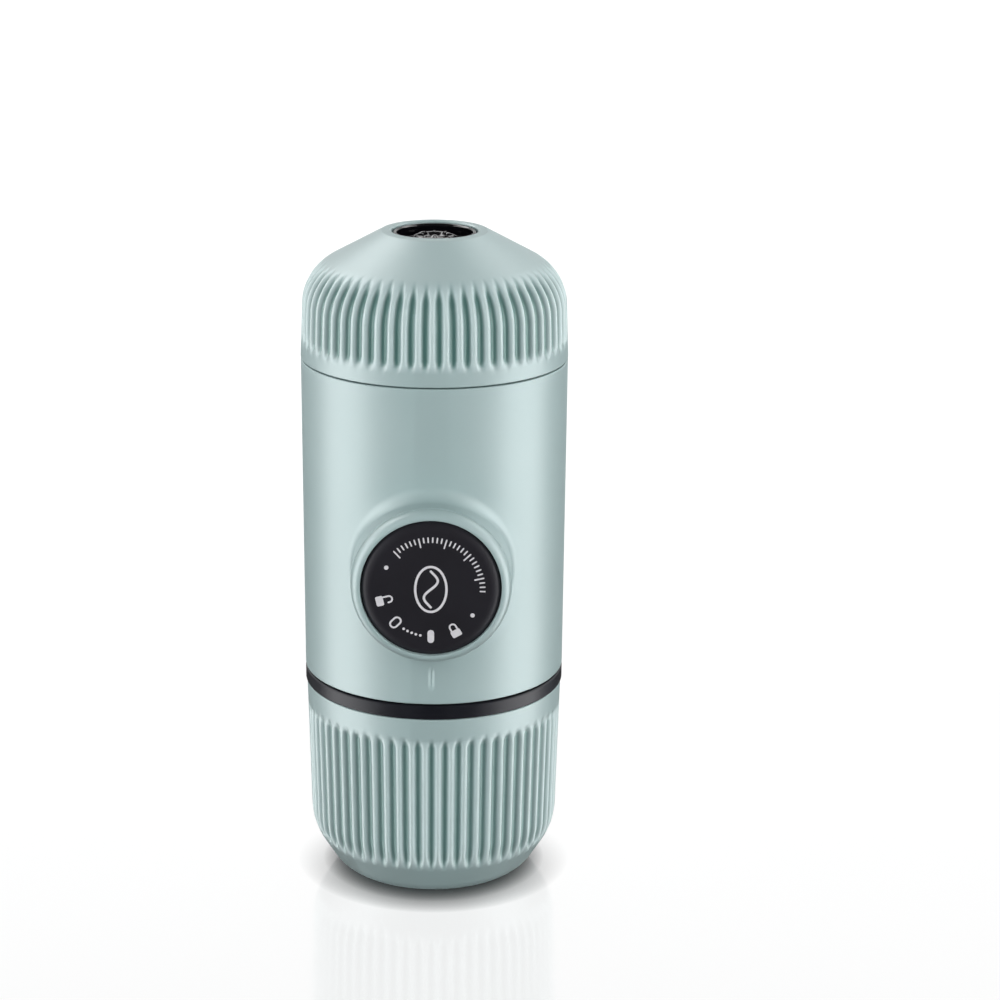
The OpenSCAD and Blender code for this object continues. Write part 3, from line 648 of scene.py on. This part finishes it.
piece("tank_outer_shell", tank_shell(), "tank", SOFT_TOUCH, ["tank_shell"])
piece("coffee_cup", cup(), "cup", SOFT_TOUCH, ["cup"])
piece("body_sleeve", body_shell(), "main_body", SOFT_TOUCH, ["body_shell"])


# ---------------------------------------------------------------- knob and collar

def collar():
    """The ring round the knob: a straight bore with a small chamfer, a front that rolls over to the outside
    in a quarter of an ellipse, a plain back."""
    bore, chamfer, deep = KNOB_R + 0.17, 0.25, 2.7
    wide = COLLAR_R - bore - chamfer
    back = -COLLAR_HIGH[1]
    a = np.linspace(0, math.pi / 2, 17)
    inside = outline(
        (bore, COLLAR_FACE - chamfer), (bore, back, 0.15), (COLLAR_R, back, 0.3), (COLLAR_R, COLLAR_FACE - 6),
        closed=False, step=2.0,
    )
    profile = np.concatenate([
        [(bore + 0.07, COLLAR_FACE - 0.05)], inside,
        np.stack([COLLAR_R - wide * (1 - np.cos(a)), COLLAR_FACE - deep * (1 - np.sin(a))], -1),
        [(bore + chamfer - 0.01, COLLAR_FACE)],
    ])
    points, faces = turned(profile)
    return facing_front(points), faces


def knob_cap():
    """The knob's end disc: a flat face, a broad arc that falls away from it and a straight side."""
    back, face = -CAP_HIGH[1], KNOB_FACE - 0.035
    wide, turn = 2.6, math.radians(50)
    a = np.linspace(turn, 0, 13)
    edge = wide / math.sin(turn) * np.stack([np.sin(a), np.cos(a) - 1], -1) + [DISC_R - wide, face]
    profile = np.concatenate([
        [(0, back), (KNOB_R - 0.2, back), (KNOB_R, back + 0.15), (DISC_R, edge[0, 1] - 0.08)], edge,
        [(KNOB_R - wide - 0.15, face), (KNOB_R - 6.0, face), (0, face)],
    ])
    points, faces = turned(profile, closed=False)
    return facing_front(points), faces


def knob_skirt():
    """The knob's hollow barrel, with its closed front behind the disc and a rounded rear edge."""
    front, back = -SKIRT_LOW[1], -SKIRT_HIGH[1]
    inside = KNOB_R - 1.6
    profile = outline(
        (0, front - 1.0), (inside, front - 1.0, 0.5), (inside, back, 0.4), (KNOB_R, back, 0.5),
        (KNOB_R, front - 0.02, 0.12), (0, front - 0.02), closed=False,
    )
    points, faces = turned(profile, 192, closed=False)
    return facing_front(points), faces


# ---------------------------------------------------------------- brewing parts

def lugs(neck_r, low):
    """The three bayonet lugs round a neck, each rooted a little inside it."""
    root, out, tall, wide = 0.4, 0.88, 2.0, 14
    return [lug(neck_r - root, neck_r + out, low, low + tall, 90 + 120 * k, wide) for k in range(3)]


def portafilter():
    """Flange, spigot with the groove of the cup's seal, neck with its ledge, bowl and spout boss, as one
    turned outline, and three lugs round the neck."""
    low, high = PORT_LOW[2], PORT_HIGH[2]
    flange_r, flange_low, flange_high = PORT_HIGH[0], CUP_HIGH[2] + 0.125, BODY_LOW[2] - 0.42
    neck_r, ledge_r, ledge_z, rebate = flange_r - 4.1, BASKET_R + 0.3, high - 2.1, 1.02
    boss_r, boss_high, bowl_r, bowl_z, bowl_wall = 6.5, low + 3.0, BASKET_R - 2.6, low + 5.0, 1.8
    spout_r, web_z = 4.0, flange_low - 1.2
    spigot_r, spigot_z, spigot_wall = CUP_SEAL_HIGH[0] - 0.4, flange_low - 7.5, 1.8
    seal_z = (CUP_SEAL_LOW[2] + CUP_SEAL_HIGH[2]) / 2
    groove_low, groove_high, groove_r = seal_z - 0.95, seal_z + 0.95, spigot_r - 1.3
    profile = outline(
        (spout_r, low), (boss_r, low, 0.5), (boss_r, boss_high, 0.4), (bowl_r + bowl_wall, boss_high, 1.2),
        (bowl_r + bowl_wall, web_z, 0.5), (spigot_r - spigot_wall, web_z, 0.5),
        (spigot_r - spigot_wall, spigot_z, 0.4), (spigot_r, spigot_z, 0.6),
        (spigot_r, groove_low, 0.1), (groove_r, groove_low, 0.1),
        (groove_r, groove_high, 0.1), (spigot_r, groove_high, 0.1),
        (spigot_r, flange_low, 0.2), (flange_r, flange_low, 0.45), (flange_r, flange_high, 0.5),
        (neck_r, flange_high, 0.3), (neck_r, high, 0.5), (ledge_r, high, 0.3), (ledge_r, ledge_z, 0.2),
        (ledge_r - 0.6, ledge_z, 0.1), (ledge_r - 0.6, ledge_z - rebate, 0.1),
        (bowl_r, ledge_z - rebate, 0.3), (bowl_r, bowl_z, 1.5), (spout_r, bowl_z),
    )
    return join(turned(profile), *lugs(neck_r, flange_high + 2.2))


def nozzle():
    """The spout's nozzle: a threaded stub, a collar with 24 shallow grip flutes round it and a tapering tip
    with a fine bore."""
    low, high = NOZZLE_LOW[2], NOZZLE_HIGH[2]
    bore, tip_r, stub_r, grip_r, grips = 1.2, 2.6, 3.98, 6.5, 24
    grip_high = high - 7.4
    grip_low = grip_high - 1.6
    profile = outline(
        (bore, low), (tip_r, low, 0.3), (3.95, grip_low - 0.1, 0.3), (grip_r, grip_low, 0.4),
        (grip_r, grip_high - 0.02, 0.4), (stub_r, grip_high - 0.02, 0.1),
        (stub_r, high, 0.3), (bore, high, 0.2),
    )
    points, faces = turned(profile, 128)
    a = np.arctan2(points[:, 1], points[:, 0])
    r = np.hypot(points[:, 0], points[:, 1])
    points[:, :2] *= np.where(r > grip_r - 0.3, 1 - 0.03 * (0.5 + 0.5 * np.cos(grips * a)) ** 2, 1.0)[:, None]
    return points, faces


# ---------------------------------------------------------------- tank parts

def tank_liner():
    """The tank's inner vessel: neck, wall and cone, and at the top the round recess with its glossy wall
    and floor, a thin step on the floor, and three lugs on the neck."""
    low, high, top = LINER_LOW[2], LINER_HIGH[2], BODY_HIGH[2]
    wall, wall_r, neck_r = 1.6, LINER_HIGH[0], BODY_R - 4.7
    rim_r, recess_r, floor = 9.62, 8.75, high - RECESS_DEEP
    profile = outline(
        (0, floor - wall), (10.0, floor - wall, 1.0), (wall_r - 4.9, high - 12.0, 4.0),
        (wall_r - wall, high - 17.5, 1.0), (wall_r - wall, top + 2.6, 0.8), (neck_r - wall, top + 1.9, 0.8),
        (neck_r - wall, low, 0.3), (neck_r, low, 0.5), (neck_r, top + 0.05, 0.2), (wall_r, top + 0.05, 0.5),
        (wall_r, high - 16.5, 1.0), (24.4, high - 9.8, 2.0), (9.95, high - 1.9, 0.2),
        (rim_r, high - 1.7, 0.2), (rim_r, high, 0.42), (recess_r, high, 0.42), (recess_r - 0.1, floor, 0.5),
        (7.4, floor, 0.15), (7.3, floor + 0.35, 0.15), (6.7, floor + 0.35, 0.15), (6.6, floor, 0.15),
        (0, floor), closed=False,
    )
    return join(turned(profile, closed=False), *lugs(neck_r, top - 7.9))


def vent_valve():
    """The vent in the recess: a low hub with a rounded rim and a dished middle, and eight curved vanes that
    run from the hub to the step, each a rounded bar whose angle drifts with its radius."""
    low = LINER_HIGH[2] - RECESS_DEEP
    hub_r, hub_top, vane_count = 4.6, low + 2.3, 8
    hub = turned(outline(
        (0, low - 0.05), (hub_r, low - 0.05, 0.1), (hub_r - 0.15, hub_top, 0.5), (3.3, hub_top, 0.4),
        (2.2, hub_top - 0.75, 0.5), (1.1, hub_top - 0.6, 0.4), (0.5, hub_top - 0.1, 0.4), (0, hub_top - 0.1),
        closed=False,
    ), 96, closed=False)
    vanes = []
    section = outline((-0.3, -0.6, 0.2), (0.3, -0.6, 0.2), (0.3, 0.6, 0.28), (-0.3, 0.6, 0.28))
    t = np.concatenate([[0, 0, 0.04], np.linspace(0.1, 0.9, 9), [0.96, 1, 1]])
    sizes = [0, 0.7, 0.92] + [1] * 9 + [0.92, 0.7, 0]
    for k in range(vane_count):
        r = 2.6 + 3.9 * t
        a = 2 * math.pi * k / vane_count + 0.42 * t ** 1.4
        places = np.stack([r * np.cos(a), r * np.sin(a), low + 0.7 + 1.3 * (1 - smooth((t - 0.2) / 0.8))], -1)
        along = np.gradient(places[:, :2], axis=0)
        along[np.linalg.norm(along, axis=1) < 1e-9] = [np.cos(a[0]), np.sin(a[0])]
        along /= np.linalg.norm(along, axis=1, keepdims=True)
        across = np.stack([-along[:, 1], along[:, 0], 0 * t], -1)
        up = np.tile([0.0, 0.0, 1.0], (len(t), 1))
        vanes.append(swept(section, places, across, up, sizes))
    return join(hub, *vanes)


# ---------------------------------------------------------------- springs

def return_spring():
    """The knob's return spring: seven turns of wire round the cylinder."""
    wire = 0.7
    points, faces = coil(SPRING_HIGH[0] - wire, wire, -SPRING_HIGH[1], -SPRING_LOW[1], 7)
    return facing_front(points), faces


def relief_spring():
    """The pressure valve's small spring: three and a half turns."""
    wire, centre_y = 0.3, (RELIEF_LOW[1] + RELIEF_HIGH[1]) / 2
    points, faces = coil(RELIEF_HIGH[0] - wire, wire, RELIEF_LOW[2], RELIEF_HIGH[2], 3.5, dead=0.5)
    return points + [0, centre_y, 0], faces


# ---------------------------------------------------------------- print

def bar(length, width, turn, radius, slant=0.0):
    """A round-ended printed bar. It stands at the angle turn, clockwise from 6 o'clock, at that radius from
    the disc's middle, along the radius, or slanted from it by slant degrees."""
    a = np.linspace(0, math.pi, 9)
    half = (length - width) / 2
    ring = np.concatenate([
        np.stack([width / 2 * np.cos(a), half + width / 2 * np.sin(a)], -1),
        np.stack([-width / 2 * np.cos(a), -half - width / 2 * np.sin(a)], -1),
    ])
    return placed(ring, turn, radius, slant)


def placed(ring, turn, radius, slant=0.0):
    """A flat shape on the disc, turned by slant, moved out by radius towards 6 o'clock, then turned
    clockwise."""
    s, t = math.radians(slant), -math.radians(turn)
    x = ring[:, 0] * math.cos(s) - ring[:, 1] * math.sin(s)
    y = ring[:, 0] * math.sin(s) + ring[:, 1] * math.cos(s) - radius
    return np.stack([x * math.cos(t) - y * math.sin(t), x * math.sin(t) + y * math.cos(t)], -1)


def printed(path, width=None):
    """A layer of ink: a closed filled shape, or with a width a line of that width along a closed path."""
    count = len(path)
    closed = width is not None
    if not closed:
        middle = 0 * path + path.mean(0)
        rings = [(middle, INK_LOW), (path, INK_LOW), (path, INK_HIGH), (middle, INK_HIGH)]
    else:
        along = np.roll(path, -1, 0) - np.roll(path, 1, 0)
        along /= np.linalg.norm(along, axis=1, keepdims=True)
        off = width / 2 * np.stack([along[:, 1], -along[:, 0]], -1)
        inner, outer = path - off, path + off
        rings = [(inner, INK_LOW), (outer, INK_LOW), (outer, INK_HIGH), (inner, INK_HIGH)]
    points = np.concatenate([np.column_stack([ring, np.full(count, h)]) for ring, h in rings])
    return facing_front(points), grid_faces(4, count, closed)


def drawn(path, width):
    """A drawn line of ink along an open path: a flat bar carried along it, with rounded ends."""
    ahead = np.gradient(path, axis=0)
    ahead /= np.linalg.norm(ahead, axis=1, keepdims=True)
    back = np.array([0.5, 0.5, 0.3, 0.0])[:, None] * width
    path = np.concatenate([path[0] - back * ahead[0], path, path[-1] + back[::-1] * ahead[-1]])
    ahead = np.concatenate([np.tile(ahead[0], (4, 1)), ahead, np.tile(ahead[-1], (4, 1))])
    sizes = np.concatenate([[0, 0.2, 0.8, 1], np.ones(len(path) - 8), [1, 0.8, 0.2, 0]])
    places = np.column_stack([path, np.full(len(path), INK_LOW)])
    across = np.column_stack([ahead[:, 1], -ahead[:, 0], 0 * sizes])
    up = np.tile([0.0, 0.0, 1.0], (len(path), 1))
    half, under, over = width / 2, -0.02, INK_HIGH - INK_LOW
    section = np.array([(-half, under), (half, under), (half, over), (-half, over)])
    points, faces = swept(section, places, across, up, sizes)
    return facing_front(points), faces


def padlock(turn, radius, lift):
    """A small padlock: a filled rounded body and a bow of line, lifted out of the body on one side where
    the lock is open. It stands on the disc's rim with its bow towards the middle."""
    body = outline((-1.15, -1.5, 0.35), (1.15, -1.5, 0.35), (1.15, 0.2, 0.35), (-1.15, 0.2, 0.35), step=0.5)
    a = np.linspace(math.pi, 0, 13)
    bow = np.stack([0.72 * np.cos(a), 0.95 + lift + 0.72 * np.sin(a)], -1)
    legs = [[(-0.72, 0.3)], bow, [(0.72, 0.3 + 1.6 * lift)]]
    return [
        printed(placed(body, turn, radius)),
        drawn(placed(np.concatenate(legs), turn, radius), 0.4),
    ]


def bean(length, width, line):
    """A coffee bean seen flat: an egg-round outline and the S of its crease."""
    a = np.linspace(0, 2 * math.pi, 64, endpoint=False)
    rim = np.stack([width / 2 * np.cos(a), length / 2 * np.sin(a)], -1)
    t = np.linspace(-1, 1, 25)
    crease = np.stack([0.24 * width * np.sin(math.pi * t) * (1 - 0.3 * t ** 2), 0.40 * length * t], -1)
    return [printed(rim, line), drawn(crease, line)]


def knob_marks():
    """The print on the disc: the bar and the O of the two positions with five dots between them, an open
    and a closed padlock beside them, a row of plain ticks over the top and a bean in the middle."""
    ring_r, o_turn, line = 11.15, 45.3, 0.42
    dot_r, dot_turn, dot_gap, point_r = 0.31, 12.2, 5.2, 0.5
    ticks, tick_turn, tick_gap, tick_long, tick_short, tick_wide = 28, 137, 5, 2.3, 1.35, 0.34
    shapes = [printed(bar(3.1, 1.5, 0, ring_r)), printed(bar(2.7, 1.7, o_turn, ring_r), line)]
    shapes += [printed(placed(circle(dot_r, 16), dot_turn + dot_gap * k, ring_r)) for k in range(5)]
    shapes += [printed(placed(circle(point_r, 20), turn, ring_r)) for turn in (117, 303)]
    shapes += padlock(76, ring_r, 0.55) + padlock(-29, ring_r, 0.0)
    for k in range(ticks):
        length = tick_long if k % 6 == 0 else tick_short
        shapes.append(printed(bar(length, tick_wide, tick_turn + tick_gap * k, ring_r + 1.1 - length / 2)))
    return join(*shapes, *bean(10.6, 7.0, 0.55))


piece("piston_collar_ring", collar(), "main_body", SOFT_TOUCH, ["piston_collar"])
piece("knob_disc", knob_cap(), "knob", SATIN, ["knob_cap"])
piece("knob_barrel", knob_skirt(), "knob", SATIN, ["knob_skirt"])
piece("knob_print", knob_marks(), "knob", INK, ["knob_marks"])
piece("portafilter_body", portafilter(), "portafilter", RING, ["portafilter"])
piece("spout_tip", nozzle(), "portafilter", RING, ["spout_nozzle"])
piece("tank_inner_vessel", tank_liner(), "tank", GLOSS, ["tank_liner"])
piece("vent_hub", vent_valve(), "tank", GLOSS, ["tank_vent_valve"])
spring = piece("knob_return_spring", return_spring(), None, BAR_Y, ["return_spring"])
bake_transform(spring)
relief = piece("pressure_relief_spring", relief_spring(), None, BAR_Z, ["valve_spring"])
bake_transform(relief)

# ---------------------------------------------------------------- finishes of the CAD nodes

# What the nodes that keep their CAD mesh are made of
FINISHES = {
    RING: ["brew_head", "tank_socket", "pump_block", "valve_plug", "cylinder_gland"],
    SATIN: ["scoop"],
    SILICONE: [
        "cup_seal", "nozzle_seal", "portafilter_seal", "brew_gasket", "block_seals", "inlet_valve",
        "pressure_valve", "piston_seal", "tank_seal",
    ],
    SHEET: ["filter_basket", "shower_screen", "intake_strainer"],
    BAR_Y: ["pump_cylinder", "piston_rod", "knob_screw"],
    BAR_Z: ["chassis_screws", "screen_screw"],
}
for finish, names in FINISHES.items():
    for name in names:
        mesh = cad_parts[name].data
        mesh.materials.clear()
        mesh.materials.append(finish)

# ---------------------------------------------------------------- stage, light and camera

# How bright the surroundings are to the object in front and below, and behind it; and how much light of
# its own the floor shows to the camera
DIM_LIGHT, BACKDROP, FLOOR_GLOW = 0.08, 0.9, 0.82


def pale_floor():
    """Polished white acrylic: it keeps a soft shadow and a faint mirror image. To the camera the floor sends
    some light of its own, which makes the rest of it white; to the object it is a mid grey. That light is
    dimmed by occlusion round the foot, a painted shadow on top of the faint real one: under it on all sides,
    and further out in front, because the occlusion there is taken about a normal that leans back to the
    object."""
    made = bpy.data.materials.new("white_acrylic_floor")
    made.use_nodes = True
    tree = made.node_tree
    tree.nodes.clear()
    path = add(tree, "LightPath")
    to_camera = path.outputs["Is Camera Ray"]
    tone = add(tree, "Mix", {"Factor": to_camera, "A": rgb("#6c6f6f"), "B": rgb("#606262")}, data_type="RGBA")
    acrylic = add(tree, "BsdfPrincipled", {
        "Base Color": tone.outputs["Result"], "Roughness": 0.1, "IOR": 1.49, "Specular IOR Level": 1.0,
    })
    lean = add(tree, "CombineXYZ", {"X": 0.0, "Y": 0.85, "Z": 0.5})
    # Painted shadow: two occlusion terms dim the floor's own light round the foot
    near = add(tree, "AmbientOcclusion", {"Distance": 9 * MM, "Normal": lean.outputs["Vector"]})
    under = add(tree, "AmbientOcclusion", {"Distance": 4 * MM})
    painted_contact_shadow = add(tree, "Math", {0: near.outputs["AO"], 1: under.outputs["AO"]}, operation="MULTIPLY")
    level = add(tree, "Math", {0: to_camera, 1: FLOOR_GLOW}, operation="MULTIPLY")
    shaded = add(tree, "Math", {0: level.outputs["Value"], 1: painted_contact_shadow.outputs["Value"]}, operation="MULTIPLY")
    glow = add(tree, "Emission", {"Color": (1, 1, 1, 1), "Strength": shaded.outputs["Value"]})
    both = add(tree, "AddShader", {0: acrylic.outputs["BSDF"], 1: glow.outputs["Emission"]})
    add(tree, "OutputMaterial", {"Surface": both.outputs["Shader"]})
    return made


def studio_floor():
    """A square floor at the cup's foot. It casts no shadow and isn't seen in the object's gloss."""
    reach = 4.0
    mesh = bpy.data.meshes.new("studio_floor")
    mesh.from_pydata(
        [(-reach, -reach, 0), (reach, -reach, 0), (reach, reach, 0), (-reach, reach, 0)], [], [(0, 1, 2, 3)]
    )
    mesh.materials.append(pale_floor())
    made = bpy.data.objects.new("studio_floor", mesh)
    bpy.context.scene.collection.objects.link(made)
    made.visible_glossy = False
    made.visible_shadow = False
    return made


def studio_world():
    """White to the camera and through glass. To the object it is bright only above the horizon behind it
    (+Y), and dim all round elsewhere."""
    world = bpy.data.worlds.new("studio")
    world.use_nodes = True
    sky = world.node_tree
    sky.nodes.clear()
    way = add(sky, "SeparateXYZ", {"Vector": add(sky, "TexCoord").outputs["Generated"]})
    behind = add(sky, "MapRange", {
        "Value": way.outputs["Y"], "From Min": 0.35, "From Max": 0.65,
    }, interpolation_type="SMOOTHSTEP")
    above = add(sky, "MapRange", {
        "Value": way.outputs["Z"], "From Min": -0.2, "From Max": 0.0,
    }, interpolation_type="SMOOTHSTEP")
    both = add(sky, "Math", {0: behind.outputs["Result"], 1: above.outputs["Result"]}, operation="MULTIPLY")
    wall = add(sky, "MapRange", {"Value": both.outputs["Value"], "To Min": DIM_LIGHT, "To Max": BACKDROP})
    ray = add(sky, "LightPath")
    shown = add(sky, "Math", {
        0: ray.outputs["Is Camera Ray"], 1: ray.outputs["Is Transmission Ray"],
    }, operation="MAXIMUM")
    strength = add(sky, "Math", {0: shown.outputs["Value"], 1: wall.outputs["Result"]}, operation="MAXIMUM")
    white = add(sky, "Background", {"Color": (1, 1, 1, 1), "Strength": strength.outputs["Value"]})
    add(sky, "OutputWorld", {"Surface": white.outputs["Background"]})
    return world


bpy.context.scene.world = studio_world()

# The lamps leave the floor out, so that it shows no lamp's mirror image
ALL_BUT_FLOOR = bpy.data.collections.new("all_but_the_floor")
ALL_BUT_FLOOR.objects.link(studio_floor())
ALL_BUT_FLOOR.collection_objects[0].light_linking.link_state = "EXCLUDE"


def soft_light(name, lamp, place, turn, sheen):
    """Hangs a lamp. The lamps for the colour aren't seen in the gloss, and the lamps for the sheen are seen
    only there."""
    made = bpy.data.objects.new(name, lamp)
    made.location = place
    made.rotation_euler = turn
    made.visible_camera = False
    made.visible_glossy = sheen
    made.visible_diffuse = not sheen
    made.light_linking.receiver_collection = ALL_BUT_FLOOR
    bpy.context.scene.collection.objects.link(made)


def soft_wall(name, compass, wide, low, high, light, sheen):
    """A tall soft wall of light a metre away that faces the object, with its power a square metre. compass is
    its bearing in degrees, 0 in front and positive to the right."""
    lamp = bpy.data.lights.new(name, "AREA")
    lamp.shape = "RECTANGLE"
    lamp.size, lamp.size_y, lamp.energy = wide, high - low, light * wide * (high - low)
    turn = math.radians(compass)
    soft_light(name, lamp, (math.sin(turn), -math.cos(turn), (low + high) / 2), (math.pi / 2, 0, turn), sheen)


def roof_panel(name, place, size, light, sheen):
    """A square soft panel that hangs above and faces the object's upper end, with its power a square metre."""
    aim = Vector((0, 0, 0.15))
    lamp = bpy.data.lights.new(name, "AREA")
    lamp.size, lamp.energy = size, light * size * size
    turn = (Vector(place) - aim).to_track_quat("Z", "Y").to_euler()
    soft_light(name, lamp, place, turn, sheen)


soft_wall("left_colour", -50, 0.75, -0.6, 1.05, 8.7, False)
soft_wall("right_colour", 50, 0.75, -0.6, 1.05, 9.8, False)
soft_wall("left_sheen", -82, 0.9, -1.2, 0.55, 17.3, True)
soft_wall("right_sheen", 82, 0.9, -1.2, 0.55, 19.2, True)
roof_panel("left_roof", (-0.55, 0.55, 0.95), 0.6, 15.5, True)
roof_panel("right_roof", (0.5, 0.55, 0.95), 0.5, 9.5, True)
roof_panel("left_wing", (-0.85, 0.3, 0.75), 0.7, 9.0, True)
roof_panel("right_wing", (0.85, 0.3, 0.75), 0.7, 9.0, True)
roof_panel("roof_colour", (0, 0.5, 0.95), 0.8, 4.2, False)


def view_camera():
    """The view: from a little to the right and well above, looking down at the knob's height."""
    eye = Vector((11.82, -636.73, 286.02)) * MM
    yaw, pitch, roll = math.radians(0.331), math.radians(17.018), math.radians(0.515)
    level = Vector((math.sin(yaw), math.cos(yaw), 0))
    forward = level * math.cos(pitch) - Vector((0, 0, math.sin(pitch)))
    level_right = Vector((math.cos(yaw), -math.sin(yaw), 0))
    level_up = level_right.cross(forward)
    right = level_right * math.cos(roll) + level_up * math.sin(roll)
    up = level_up * math.cos(roll) - level_right * math.sin(roll)
    lens = bpy.data.cameras.new("camera")
    lens.sensor_width, lens.lens = 36.0, 101.59
    lens.clip_start = 0.01
    made = bpy.data.objects.new("camera", lens)
    made.matrix_world = Matrix.Translation(eye) @ Matrix((right, up, -forward)).transposed().to_4x4()
    bpy.context.scene.collection.objects.link(made)
    return made


bpy.context.scene.camera = view_camera()
bpy.context.scene.view_settings.view_transform = "Standard"
